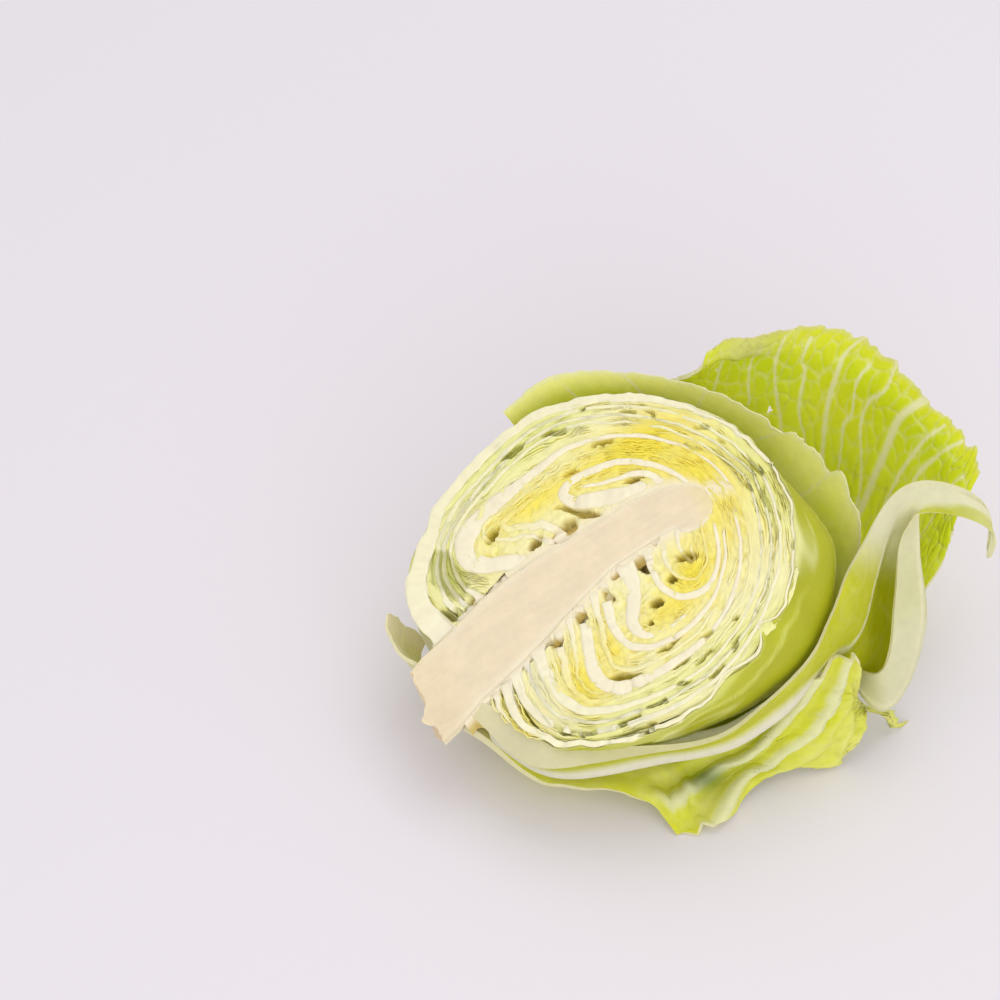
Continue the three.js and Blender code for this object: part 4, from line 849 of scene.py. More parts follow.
def build_head():
    """The wrapper leaves, the thin layers and the leaves of the heart, cut through."""
    meshes = {name: Mesh() for name in [*WRAPPERS, *INNER]}
    for k, (name, leaf) in enumerate(WRAPPERS.items()):
        add_wrapper(meshes[name], leaf, seed=200 + 10 * k, outermost=k == 0)
        blade = leaf["blade"]
        for side, rib in zip(("plus", "minus"), leaf["rib"]):
            thick = [rib, mix(rib, blade, 0.6), blade, blade * 0.85, blade * 0.7]
            if "edge" in leaf:
                thick = leaf["edge"][side]
            add_edge(meshes[name], leaf[side], thick, 300 + 20 * k + len(side), depth=9 if k else 3,
                     crinkle=(0.5, 9), tone=mix(RIB_WHITE, PALE_GREEN, 0.25 if rib > 4 else 0.45),
                     rooted=True, torn_rim=k == 0)
    add_layers(meshes)
    for k, (name, leaf) in enumerate(INNER.items()):
        tone = mix(RIB_WHITE, CORE_CREAM, 0.2) if leaf["slot"] == "rib" else None
        hanging = name == "folded_leaf_2"
        add_edge(meshes[name], leaf["line"], leaf["width"], 500 + 20 * k, depth=14, tone=tone, step=0.8,
                 crinkle=leaf.get("crinkle", (0.25, 8)), rooted=not hanging, blunt=hanging)
    for k, (name, outer, inner, count, crinkle) in enumerate(BANDS):
        add_band(meshes[name], outer, inner, count, 1500 + 400 * k, crinkle)
    add_pressed_layers(meshes["wrapper_leaf_3"])
    add_heart_floor(meshes["wrapper_leaf_4"])
    add_patch(meshes["wrapper_leaf_2"], *PATCH, depths=(1.2, 4.8), bulge=1.6,
              colours=(PALE_GREEN, PATCH_GREEN), seed=96)
    for name in WRAPPERS:
        meshes[name].build(name + "_detail", name, "pale_leaf", CUT)
    for name, leaf in INNER.items():
        meshes[name].build(name + "_detail", name, leaf["slot"], CUT)


def add_pressed_layers(mesh):
    """The thinnest layers, pressed together between the outermost leaf and the heart: one ridged sheet."""
    rows, columns = PRESSED_GRID
    share, t = np.linspace(-0.12, 1.05, rows), shares(columns)
    outer, length = by_length(OUTER_GUIDE, t)
    inner = by_length(INNER_GUIDE, t)[0]
    grid = np.zeros((len(share), len(t), 3))
    grid[..., :2] = mix(outer[None], inner[None], share[:, None, None])
    run = on_grid(share * 22, t * length)[..., ::-1]
    drift = 2.2 * noise(run, (26, 9), 90) + 1.0 * noise(run, (9, 4), 91) + 0.3 * noise(run, (3, 2), 92)
    phase = share[:, None] * RIDGES + drift
    ridge = smooth((np.abs(phase % 1 * 2 - 1) - 0.2) / 0.5)
    ridge = mix(ridge, 0.9, 0.85 * smooth((noise(run, (14, 5), 98) + 0.1) / 0.35))
    torn = smooth(0.3 + 1.2 * noise(run, (9, 2.6), 93) + 0.4 * noise(run, (4, 1.4), 97))
    a, b = grid[..., 0], grid[..., 1]
    deep = (1 - ridge) * (0.25 + 1.3 * torn)
    grid[..., 2] = -0.45 - deep - 1.1 * hollow(a, b) - 0.3 * noise(run, (5, 1.6), 94)
    grid[..., 2] -= 14 * np.maximum(0, 0.02 - share)[:, None]
    gap = np.clip((1 - ridge) * (0.3 + 0.8 * torn), 0, 1)[..., None]
    # In the gaps between the ridges the blades show painted shade for their depth.
    colour = mix(layer_colour(a, b), painted_depth_shade(blade_colour(a, b), a, b, deep * 1.5 + hollow(a, b)), gap)
    mesh.add_grid(grid, colour * (1 + 0.05 * noise(run, (5, 1.4), 95)[..., None]))


def add_heart_floor(mesh):
    """The crumpled blades between the leaves of the heart. They pass under the core."""
    rows, columns = HEART_GRID
    turn, out = np.linspace(0, 2 * np.pi, columns), np.linspace(0.02, 1.0, rows)
    rim = by_length(INNER_GUIDE + [(-42, 4), INNER_GUIDE[0]], turn / (2 * np.pi))[0]
    grid = np.zeros((len(out), len(turn), 3))
    grid[..., :2] = mix(HEART_CENTRE, rim[None], out[:, None, None])
    a, b = grid[..., 0], grid[..., 1]
    bent = grid[..., :2] + 1.5 * np.stack([noise(grid[..., :2], 5, 84), noise(grid[..., :2], 5, 85)], -1)
    fold = 1 - 2 * np.abs(noise(bent, 3.6, 80)) + 0.6 * (1 - 2 * np.abs(noise(bent, 1.6, 81)))
    away = np.abs(b - core_line(a))
    near = np.exp(-(np.maximum(away - core_radius(a) * (a < 52), 0) / 5) ** 2)
    sunken = hollow(a, b)
    deep = mix(1.25 - 0.75 * fold, 0.4 - 0.1 * fold, near) + 1.25 * sunken
    deep = deep + 3 * smooth((core_radius(a) - away - 0.4) / 2)
    grid[..., 2] = -deep
    colour = mix(blade_colour(a, b), layer_colour(a, b), (0.7 * smooth(0.3 + 0.7 * fold))[..., None])
    colour = mix(colour, FOOT_CREAM, (0.9 * near)[..., None])
    # The floor gets painted shade for its depth and in the hollows.
    mesh.add_grid(grid, painted_depth_shade(colour, a, b, 1.3 * sunken + np.maximum(0, deep - 2.4)))


# ---- Loose leaves ----
def outside_samples():
    """Directions from the head's centre to points on its outermost leaf, and how far they lie."""
    leaf = WRAPPERS["wrapper_leaf_1"]
    u, v = np.arange(41) / 40, np.arange(31) / 30
    arm = (wrapper_surface(leaf, u, v) - HEAD_CENTRE).reshape(-1, 3)
    radius = np.linalg.norm(arm, axis=1)
    return arm / radius[:, None], radius + wrapper_thickness(leaf, u, v).ravel() / 2


SAMPLE_ARMS, SAMPLE_RADII = outside_samples()


def head_radius(direction):
    """How far the outside of the head lies in some directions."""
    flat = direction.reshape(-1, 3)
    found = np.empty(len(flat))
    for start in range(0, len(flat), 8192):
        weight = np.exp(SHARPNESS * (flat[start:start + 8192] @ SAMPLE_ARMS.T - 1))
        found[start:start + 8192] = weight @ SAMPLE_RADII / weight.sum(1)
    return found.reshape(direction.shape[:-1])


def place(net):
    """Places in the head frame of net points."""
    s, t = np.radians(net[..., 0]), np.radians(net[..., 1])
    direction = np.stack([-np.cos(s), np.sin(s) * np.cos(t), -np.sin(s) * np.sin(t)], -1)
    return HEAD_CENTRE + direction * (head_radius(direction) + net[..., 2])[..., None]


def net_point(p):
    """A place in the head frame as (stem angle and turn in degrees, gap outside the head)."""
    arm = np.asarray(p, float) - HEAD_CENTRE
    radius = np.linalg.norm(arm)
    arm = arm / radius
    turn = math.degrees(math.atan2(-arm[2], arm[1]))
    if turn < -90:
        turn += 360
    return math.degrees(math.acos(-arm[0])), turn, radius - float(head_radius(arm))


def at_core(a, turn):
    """The net point just off the core, at a along it and a turn about it."""
    return net_point(round_core(a, core_radius(a) + CORE_GAP, turn))


def in_head(a, b, n):
    """The net point at a place in the head frame."""
    return net_point((a, b, n))


def in_row(x, y, z):
    """The net point at a place in the row frame."""
    return net_point(to_head((x, y, z)))


# The middle surface of each loose leaf as a net of points, with rows from its foot to its margin. A point is
# (stem angle, turn, gap): the angle between its arm and the stem, the arm's turn about the head's long axis
# from the b side, and how far it lies outside the head.
NETS = {
    "torn_leaf": [
        [at_core(-90.6, t) for t in (14, 30, 46, 62, 78, 92, 104)],
        [(30, 28, 4.6), (30, 40, 4.4), (30, 52, 4.2), (30, 64, 4.2), (30, 76, 4.2), (30, 90, 4.2),
         (29, 104, 4.2)],
        [(56, 30, 3.6), (62, 44, 3.4), (68, 57, 3.4), (72, 71, 3.4), (74, 85, 3.4), (74, 100, 3.4),
         (70, 114, 3.4)],
        [(75, 24, 3.6), (92, 33, 3.4), (108, 44, 3.4), (118, 62, 3.6), (122, 84, 3.8), (118, 106, 4),
         (108, 124, 3.6)],
        [(83, 12, 4), (106, 15, 5), (128, 22, 5), (143, 42, 6), (150, 78, 8), (143, 112, 8),
         (127, 136, 4.5)],
        [(84, 0, 10), (109, 0, 14), (134, 6, 11), (155, 24, 12), (168, 75, 18), (158, 126, 19),
         (138, 150, 7)],
    ],
    "right_leaf": [
        [at_core(-84, t) for t in (177, 167, 157, 146, 135, 122)],
        [(32, 176, 9.5), (32, 165, 8), (33, 154, 6), (34, 143, 4.5), (35, 132, 4), (36, 122, 3.6)],
        [(43, 177, 8.5), (43, 166, 7), (44, 155, 5), (46, 144, 4.3), (47, 133, 4), (48, 122, 3.8)],
        [(57, 175, 5.5), (58, 165, 5), (59, 155, 4.6), (61, 145, 4.4), (63, 134, 4.2), (64, 124, 4)],
        [(73, 168, 5), (74, 160, 5), (75, 152, 5), (76, 144, 5), (78, 136, 5), (80, 128, 5)],
        [(91, 165, 8.5), (92, 156, 9), (92, 147, 9), (93, 140, 9), (94, 134, 9), (96, 127, 8)],
        [(108, 165, 6), (107, 156, 7), (107, 147, 8.5), (108, 139, 10), (109, 133, 11), (112, 127, 12)],
        [(122, 164, 6), (121, 154, 7), (120, 145, 10), (119, 138, 15), (118, 134, 20), (119, 131, 25)],
        [(134, 165, 7), (132, 151, 11), (127, 138, 24), (119, 135, 43), (117, 139, 51), (124, 144, 34)],
        [(144, 160, 7), (142, 146, 15), (139, 131, 28), (134, 131, 44), (133, 139, 47), (137, 142, 29)],
        [(153, 149, 18), (151, 141, 24), (147, 129, 33), (146, 131, 39), (146, 137, 41), (148, 137, 32)],
        [(160, 142, 39), (158, 138, 40), (156, 135, 42), (155, 134, 44), (154, 137, 44), (154, 139, 41)],
        [(159, 132, 58), (158, 131, 58), (157, 131, 58), (156, 132, 58), (155, 133, 58), (154, 134, 58)],
        [(153, 133, 76), (152, 133, 76), (152, 134, 76), (151, 135, 75), (151, 135, 75), (150, 136, 75)],
        [(147, 136, 72), (147, 136, 72), (146, 136, 72), (146, 137, 71), (146, 137, 71), (146, 137, 71)],
    ],
    "front_leaf": [
        [at_core(-93, t) for t in (166, 156, 146, 136, 126, 116)],
        [(30, 163, 18), (32, 152, 13.5), (34, 142, 11), (36, 132, 9), (38, 122, 7.4), (40, 113, 6.4)],
        [(42, 156, 20), (44, 148, 14.4), (46, 140, 11.6), (48, 132, 10), (51, 124, 8), (54, 116, 6.4)],
        [(60, 154, 22), (61, 148, 15), (62, 141, 11), (64, 134, 9.6), (66, 128, 9), (69, 122, 8.4)],
        [(76, 152, 46), (75, 148, 30), (76, 143, 19), (78, 138, 13), (80, 134, 10.5), (82, 131, 10)],
        [(92, 142, 41), (91, 143, 35), (90, 143, 29), (90, 143, 23), (91, 141, 18), (92, 138, 15)],
        [(101, 138, 57), (101, 139, 49), (102, 142, 38), (103, 144, 29), (105, 146, 19), (106, 147, 13)],
        [(107, 136, 65), (108, 137, 57), (110, 139, 46), (112, 142, 36), (116, 146, 24), (120, 150, 15)],
        [(111, 132, 72), (112, 133, 65), (113, 134, 56), (114, 136, 43), (117, 142, 31), (124, 149, 21)],
        [(115, 129, 78), (115, 130, 73), (115, 130, 67), (113, 129, 58), (114, 133, 44), (119, 142, 30)],
    ],
    "back_leaf": [
        [at_core(-97, t) for t in (54, 62, 70, 78, 86, 95, 104)],
        [(36, 42, 8.2), (36, 52, 8.2), (36, 64, 8.4), (36, 76, 8.4), (36, 88, 8.4), (37, 100, 8.6),
         (38, 110, 9)],
        [(62, 40, 7.6), (62, 54, 7.6), (62, 68, 7.4), (62, 82, 7.4), (62, 96, 7.4), (63, 108, 8),
         (64, 116, 10)],
        [(84, 28, 9), (86, 46, 13), (88, 64, 18), in_row(46, 40, 2.6), in_row(54, 28, 1.8),
         in_row(60, 12, 1.8), in_row(62, -2, 4)],
        [(104, 20, 10), (108, 36, 18), (108, 56, 36), in_row(84, 60, 4), in_row(96, 46, 0.6),
         in_row(104, 30, 0.6), in_row(108, 14, 5)],
        [(120, 16, 12), (124, 27, 28), in_row(78, 94, 50), in_row(104, 82, 28), in_row(122, 66, 22),
         in_row(134, 44, 24), in_row(140, 24, 30)],
        [(131, 17, 15), in_row(54, 101, 96), in_row(84, 103, 92), in_row(112, 94, 74), in_row(134, 78, 66),
         in_row(150, 55, 61), in_row(153, 34, 52)],
        [in_row(41, 93, 124), in_row(62, 104, 122), in_row(90, 108, 117), in_row(116, 101, 106),
         in_row(140, 86, 96), in_row(158, 67, 86), in_row(163, 50, 74)],
        [in_row(47, 100, 131), in_row(69, 106, 136), in_row(102, 113, 134), in_row(125, 105, 127),
         in_row(150, 86, 109), in_row(167, 75, 98), in_row(174, 66, 91)],
    ],
    "leaf_stub": [
        [at_core(-99, t) for t in (4, 22, 40)],
        [in_head(-104, 21, -1), in_head(-104, 19, -10), in_head(-103, 14, -18)],
        [in_head(-105, 32, -2), in_head(-104, 29, -14), in_head(-102, 23, -25)],
        [in_head(-99, 42, -5), in_head(-98, 38, -18), in_head(-95, 31, -30)],
    ],
}

# Each loose leaf. Places on it are shares: u from its foot to its margin, and v across it.
#   grid            rows and columns of points
#   thick           thickness at the foot and of the blade
#   waves           height of its waves, how many across and how many down
#   cell, net       size of the cells in its net of veins, and how far they pucker
#   tear            (v, share of its length that the torn margin cuts off); without it the margin is smooth
#   reach           (v, how far its margin reaches beyond the net of points)
#   wide            (u, how far its v = 1 side reaches out)
#   side            (u, share of its width by which its v = 0 side is drawn in)
#   bowed, padded   (u, how far its v = 0 side bows outwards), (u, how much thicker its outside is there)
#   rim             how much thicker its v = 0 side is near the foot
#   ridged_inside   how much of the relief of its ribs its inner face has
#   folds, crumple  height, place, spacing and slant of its crests, and height of the crumples between them
#   curl            (u, v, reach across) where its margin rolls back
#   holes           (u, v, reach down, reach across) of each hole
#   pale_tip        (u, v) where the pale back of its twisted tip starts
#   inner, outer    colours of both faces, mixed at random
#   margin          colour of its margin, and how far in that goes
PALE = (mix(LEAF_BACK, FRESH_GREEN, 0.3), LEAF_BACK)
LEVEL = [(0, 0), (1, 0)]
LEAVES = {
    "torn_leaf": dict(
        grid=(116, 190), thick=(3, 1.4), waves=(1.6, 3, 2), slot="green_leaf", cell=9, net=0.1, tear=LEVEL,
        reach=[(0, 0), (0.3, 0.5), (0.41, 3.6), (0.49, 4.2), (0.54, 4.6), (0.594, 1.5), (0.604, 1),
               (0.614, 5.6), (0.65, 5.6), (0.7, 4.8), (0.753, 3.6), (0.776, 3.6), (0.786, 8.5), (0.81, 11),
               (0.825, 9), (0.85, 7.5), (0.88, 7.5), (0.92, 2), (1, 0)],
        inner=(rgb(236, 245, 40), rgb(255, 255, 158)), outer=PALE, margin=(rgb(254, 255, 214), 0.06)),
    "right_leaf": dict(
        grid=(190, 90), thick=(4, 1.6), waves=(0, 2, 5), slot="green_leaf", cell=10, net=0.1, rim=3.4,
        inner=(rgb(206, 210, 8), rgb(226, 228, 60)), outer=PALE, ridged_inside=1.1, pale_tip=(0.63, 0.3),
        wide=[(0, 0), (0.78, 0), (0.86, 3), (0.94, 5), (0.98, 4), (1, 1)],
        bowed=[(0, 0), (0.12, 0), (0.15, 0.5), (0.2, 2), (0.25, 2.5), (0.3, 1.5), (0.36, 0.5), (0.42, 0),
               (1, 0)],
        padded=[(0, 0), (0.03, 4), (0.08, 8), (0.13, 8), (0.18, 5), (0.24, 1.5), (0.3, 0), (1, 0)]),
    "front_leaf": dict(
        grid=(206, 104), thick=(3, 1.6), waves=(2.5, 2, 4), slot="green_leaf", cell=9, net=0.15,
        tear=[(0, 0.01), (0.16, 0.04), (0.38, 0.0), (0.6, 0.05), (0.77, 0.0), (1, 0.03)],
        side=[(0, 0.02), (0.2, 0.05), (0.36, 0.07), (0.385, 0.1), (0.4, 0.1), (0.41, 0.06), (0.42, 0),
              (0.43, 0.02), (0.445, 0.0), (0.455, 0.05), (0.464, 0.0), (0.5, 0), (0.53, 0.04), (0.6, 0.14),
              (0.66, 0.17), (0.715, 0.08), (0.73, 0.1), (0.76, 0.24), (0.84, 0.4), (0.92, 0.52), (0.95, 0.5),
              (0.965, 0.1), (0.975, 0), (1, 0)],
        wide=[(0, 0), (0.45, 0), (0.55, 5), (0.68, 10), (0.78, 9), (0.85, 7), (0.93, 2), (1, 0)],
        folds=(3.2, 0.465, 0.1, 0.38), crumple=1.0, margin=(rgb(232, 238, 70), 0.05),
        inner=(rgb(240, 243, 44), rgb(252, 252, 130)), outer=(rgb(240, 243, 44), rgb(252, 252, 150))),
    "back_leaf": dict(
        grid=(215, 185), thick=(4, 1.6), waves=(2.5, 3, 4), slot="deep_leaf", cell=6.4, net=0.55,
        tear=[(0, 0.03), (0.06, 0.0), (0.13, 0.02), (0.19, 0.0), (0.3, 0.02), (0.38, 0.0), (0.5, 0.006),
              (0.62, 0.0), (0.72, 0.012), (0.79, 0.0), (0.86, 0.02), (0.9, 0.0), (0.95, 0.014), (1, 0.02)],
        holes=[(0.908, 0.226, 0.011, 0.005), (0.845, 0.1, 0.006, 0.006), (0.736, 0.301, 0.011, 0.004)],
        inner=(LEAF_GREEN, rgb(234, 240, 40)), outer=PALE, curl=(0.88, 0.15, 0.09),
        margin=(PALE_GREEN, 0.04)),
    "leaf_stub": dict(
        grid=(40, 40), thick=(2, 1.2), waves=(1.5, 1, 1), slot="pale_leaf", cell=6, net=0.2,
        tear=[(0, 0.05), (0.3, 0), (0.5, 0.05), (0.7, 0.01), (1, 0.05)], inner=(PALE_GREEN, RIB_WHITE),
        outer=PALE, margin=(RIB_WHITE, 0.2)),
}

# Main veins of the loose leaves: width, relief on the outer face, and the way as shares (down, across).
VEINS = {
    "torn_leaf": [(3, 0.4, [(0, 0.5), (0.5, 0.45), (1, 0.42)]),
                  (2, 0.3, [(0.1, 0.5), (0.5, 0.7), (1, 0.78)]),
                  (2, 0.3, [(0.1, 0.5), (0.5, 0.25), (1, 0.12)]), (1.6, 0.2, [(0.5, 0.45), (1, 0.25)]),
                  (1.6, 0.2, [(0.4, 0.46), (1, 0.6)])],
    "right_leaf": [(11, 4.4, [(0.05, 0.3), (0.12, 0.26), (0.25, 0.24), (0.36, 0.24), (0.46, 0.24),
                              (0.54, 0.3)]),
                   (5, 1.0, [(0.05, 0.6), (0.2, 0.66), (0.34, 0.7), (0.45, 0.75)]),
                   (3, 0.4, [(0.36, 0.4), (0.5, 0.34), (0.66, 0.26), (0.8, 0.3)]),
                   (2, 0.3, [(0.45, 0.6), (0.6, 0.7), (0.75, 0.72)]),
                   (2, 0.3, [(0.5, 0.85), (0.65, 0.86), (0.8, 0.8)])],
    "front_leaf": [(2.6, 0.5, [(0.1, 0.6), (0.3, 0.75), (0.45, 0.85)])],
    "back_leaf": [(9, 1.5, [(0, 0.5), (0.35, 0.56), (0.74, 0.623), (0.83, 0.64), (0.89, 0.645), (1, 0.653)]),
                  (5, 0.9, [(0.1, 0.5), (0.45, 0.47), (0.715, 0.46), (0.77, 0.448), (0.88, 0.444),
                            (0.95, 0.436), (1, 0.452)]),
                  (3.8, 0.7, [(0.1, 0.5), (0.5, 0.56), (0.7, 0.594), (0.8, 0.548), (0.86, 0.552),
                              (0.925, 0.573), (1, 0.556)]),
                  (2.2, 0.5, [(0.4, 0.52), (0.724, 0.51), (0.79, 0.498), (0.824, 0.515), (0.895, 0.502),
                              (0.958, 0.51)]),
                  (3.8, 0.7, [(0.12, 0.48), (0.5, 0.42), (0.715, 0.406), (0.753, 0.377), (0.858, 0.36),
                              (0.887, 0.34), (0.958, 0.322)]),
                  (3.8, 0.7, [(0.14, 0.46), (0.5, 0.36), (0.707, 0.339), (0.762, 0.314), (0.824, 0.285),
                              (0.929, 0.255), (0.98, 0.25)]),
                  (3.0, 0.6, [(0.16, 0.44), (0.5, 0.29), (0.741, 0.251), (0.812, 0.213), (0.95, 0.19)]),
                  (2.4, 0.4, [(0.18, 0.42), (0.5, 0.2), (0.75, 0.14), (0.9, 0.1)]),
                  (3.4, 0.6, [(0.3, 0.55), (0.6, 0.66), (0.787, 0.695), (0.82, 0.711), (0.891, 0.736),
                              (0.97, 0.75)]),
                  (3.4, 0.6, [(0.3, 0.56), (0.6, 0.7), (0.808, 0.749), (0.895, 0.795), (0.987, 0.824)]),
                  (2.4, 0.4, [(0.3, 0.57), (0.6, 0.78), (0.8, 0.86), (0.93, 0.93)])],
    "leaf_stub": [(2, 0.4, [(0, 0.5), (1, 0.5)])],
}


def net_surface(net, u, v):
    """A smooth surface through a net of points."""
    rows = spline(np.swapaxes(np.array(net), 0, 1), v)
    return place(spline(np.swapaxes(rows, 0, 1), u))


def vein_net(along, across, cell, seed):
    """1 on the fine veins between irregular cells of a blade, 0 inside the cells. Lengths in millimetres."""
    x, y = along / (cell * 1.5), across / cell
    i, j = np.floor(x).astype(np.int64), np.floor(y).astype(np.int64)
    zero = np.zeros_like(i)
    first, second = np.full(x.shape, 9.0), np.full(x.shape, 9.0)
    for di in (-1, 0, 1):
        for dj in (-1, 0, 1):
            px = i + di + 0.5 + 0.42 * lattice(i + di, j + dj, zero, seed)
            py = j + dj + 0.5 + 0.42 * lattice(i + di, j + dj, zero, seed + 1)
            d = np.hypot(x - px, y - py)
            second = np.minimum(second, np.maximum(first, d))
            first = np.minimum(first, d)
    return 1 - smooth((second - first) / 0.24)


def near_vein(along, across, way, ahead, u, spread):
    """Distance in millimetres of every grid point from a vein, whose way is in shares of the leaf."""
    line = by_length(way, shares(160))[0]
    x, y = np.interp(line[:, 0], u, ahead), (line[:, 1] - 0.5) * np.interp(line[:, 0], u, spread)
    found = np.full(along.shape, 1e9)
    for px, py in zip(x, y):
        found = np.minimum(found, (along - px) ** 2 + (across - py) ** 2)
    return np.sqrt(found)


def reading(table, at):
    """A table of (key, value) read at some keys, with straight lines between its rows."""
    return np.interp(at, *np.transpose(table))


def slid(row, share, at):
    """Points of a row, whose places are shares, read at other shares of it."""
    return np.stack([np.interp(at, share, row[:, axis]) for axis in range(3)], -1)


def leaf_shape(name, leaf, u, v, seed):
    """The middle surface of a blade, and the share of its length that its torn margin cuts off at each v."""
    close_u = np.linspace(0, 1, 6 * len(u))
    net = net_surface(NETS[name], close_u, v)
    if "reach" in leaf:
        further = reading(leaf["reach"], v)[None] * close_u[:, None] ** 4
        net = net + unit(net[-1] - net[-30])[None] * further[..., None]
    ragged = np.zeros(len(v))
    if "tear" in leaf:
        ragged = reading(leaf["tear"], v) + 0.012 * (1 + noise_along(v * 40, 1, seed + 9))
        ragged += 0.005 * noise_along(v * 110, 1, seed + 10)
    flat = np.zeros((len(u), len(v), 3))
    for k in range(len(v)):
        flat[:, k] = slid(net[:, k], close_u, u * (1 - ragged[k] * u * u))
    if "wide" in leaf:
        further = reading(leaf["wide"], u)[:, None] * v[None] ** 4
        flat = flat + unit(flat[:, -1] - flat[:, -6])[:, None] * further[..., None]
    drawn_in = reading(leaf.get("side", LEVEL), u)
    for k in range(len(u)):
        flat[k] = slid(flat[k], v, v + drawn_in[k] * (1 - v) ** 2)
    return flat, ragged


def leaf_marks(name, leaf, flat, ragged, u, v, seed):
    """How far a blade lifts off its middle surface, and how much of each kind of mark lies where, 0 to 1."""
    ahead = np.linalg.norm(np.diff(flat[:, len(v) // 2], axis=0), axis=1)
    ahead = np.concatenate([[0], np.cumsum(ahead)])
    spread = np.linalg.norm(np.diff(flat, axis=1), axis=2).sum(1)
    along = np.broadcast_to(ahead[:, None], flat.shape[:2])
    across = (v[None] - 0.5) * spread[:, None]
    down, over = u[:, None], v[None]
    margin = np.maximum(smooth((down - 0.7) / 0.3),
                        smooth((np.abs(2 * over - 1) - 0.55) / 0.45) * smooth(down / 0.5))
    height, across_waves, down_waves = leaf["waves"]
    wave = (np.sin(2 * np.pi * across_waves * over) + np.sin(2 * np.pi * down_waves * down + 1)) / 2
    rib, relief = np.zeros_like(along), np.zeros_like(along)
    for width, raised, way in VEINS[name]:
        away = near_vein(along, across, way, ahead, u, spread)
        wide = mix(width, width * 0.45, smooth((down - way[0][0]) / 1.1))
        rib = np.maximum(rib, 1 - smooth((away - 0.25 * wide) / (0.4 * wide)))
        fade = 1 - smooth((down - way[-1][0] + 0.14) / 0.14) * (way[-1][0] < 0.9)
        relief = np.maximum(relief, fade * raised * (1 - smooth((away - 0.1 * wide) / (0.75 * wide))))
    bend = np.stack([along + 2.5 * noise(np.stack([along, across], -1), 9, seed + 2), across], -1)
    net = vein_net(bend[..., 0] * 0.75, bend[..., 1] + 1.5 * noise(bend, 8, seed + 3), leaf["cell"], seed)
    fine = vein_net(bend[..., 0], bend[..., 1], leaf["cell"] * 0.42, seed + 5)
    pucker = (1 - np.maximum(net, rib)) * (0.6 + 0.4 * noise(bend, 12, seed + 4))
    lift = height * margin * wave
    lift = lift - smooth((down - 0.28) / 0.25) * (1.5 * leaf["net"] * pucker + 0.1 * (1 - fine))
    lift = lift + 0.35 * noise(flat, 16, seed + 6)
    crest, notch, curled = (np.zeros_like(along) for _ in range(3))
    if "folds" in leaf:
        deep, first, spacing, slant = leaf["folds"]
        below = down * (1 - ragged[None] * down**2)
        past = below - slant * over - first
        turn = 2 * np.pi * past / spacing + 0.5 * noise(flat, 22, seed + 11)
        crest = np.cos(turn) * smooth((past + 0.2) / 0.06) * mix(1, 0.3, smooth((past - 0.03) / 0.05))
        crest = crest * smooth((1 - below) / 0.12) * smooth((below - 0.36) / 0.08)
        lift = lift + deep * (crest + 0.25 * np.cos(2 * turn) * np.abs(crest))
        lift = lift + leaf["crumple"] * smooth(down / 0.3) * noise(flat, 8, seed + 12)
        notch = bell(down, 0.49, 0.03) * bell(over, 0.31, 0.09)
        lift = (lift - 4 * notch) * (1 - 0.85 * smooth((down - 0.91) / 0.04))
        crest = smooth((crest - 0.12) / 0.75)
    if "curl" in leaf:
        start, middle_at, wide = leaf["curl"]
        curled = smooth((down - start) / 0.035) * bell(over, middle_at, wide)
        lift = lift - 3 * curled * (1 + 0.4 * noise(flat, 7, seed + 13))
    return dict(lift=lift, rib=rib, relief=relief, net=net, fine=fine, crest=crest, notch=notch,
                curled=curled)


def leaf_faces(leaf, flat, marks, u, v):
    """The outer and inner face of a blade, and how white its thickened rim and its pad are."""
    down, over = u[:, None], v[None]
    middle = flat + normals_of(flat) * marks["lift"][..., None]
    normal = normals_of(middle)
    if "bowed" in leaf:
        bow = reading(leaf["bowed"], u)[:, None] * (1 - smooth(over / 0.7))
        middle = middle + normal * bow[..., None]
    foot, blade = leaf["thick"]
    rim = leaf.get("rim", 0) * (1 - smooth(over / 0.5)) * (1 - smooth(down / 0.45))
    half = (mix(foot, blade, smooth(down / 0.4)) + rim) / 2
    half = half * (1 - 0.55 * smooth((down - 0.9) / 0.1))
    if "pale_tip" in leaf:
        middle = mix(middle, flat, smooth((down - 0.68) / 0.08)[..., None])
        normal = normals_of(middle)
        half = mix(half, TWIST_THICK / 2, smooth((down - 0.66) / 0.1))
    pad = reading(leaf.get("padded", LEVEL), u)[:, None] * (1 - smooth((over - 0.2) / 0.5))
    relief = marks["relief"]
    outer = clear_of_core(middle + normal * (half + relief + pad)[..., None])
    inner = clear_of_core(middle - normal * (half + leaf.get("ridged_inside", 0.25) * relief)[..., None])
    outer, inner = to_row(outer), to_row(inner)
    sunk_under = np.maximum(0, LEAST_HEIGHT - np.minimum(outer[..., 2], inner[..., 2]))
    outer[..., 2] += sunk_under
    inner[..., 2] += sunk_under
    white_pad = np.clip(pad * (1 - 0.95 * smooth((over - 0.2) / 0.1)), 0, 1)
    return to_head(outer), to_head(inner), np.clip(rim / 2, 0, 1), white_pad


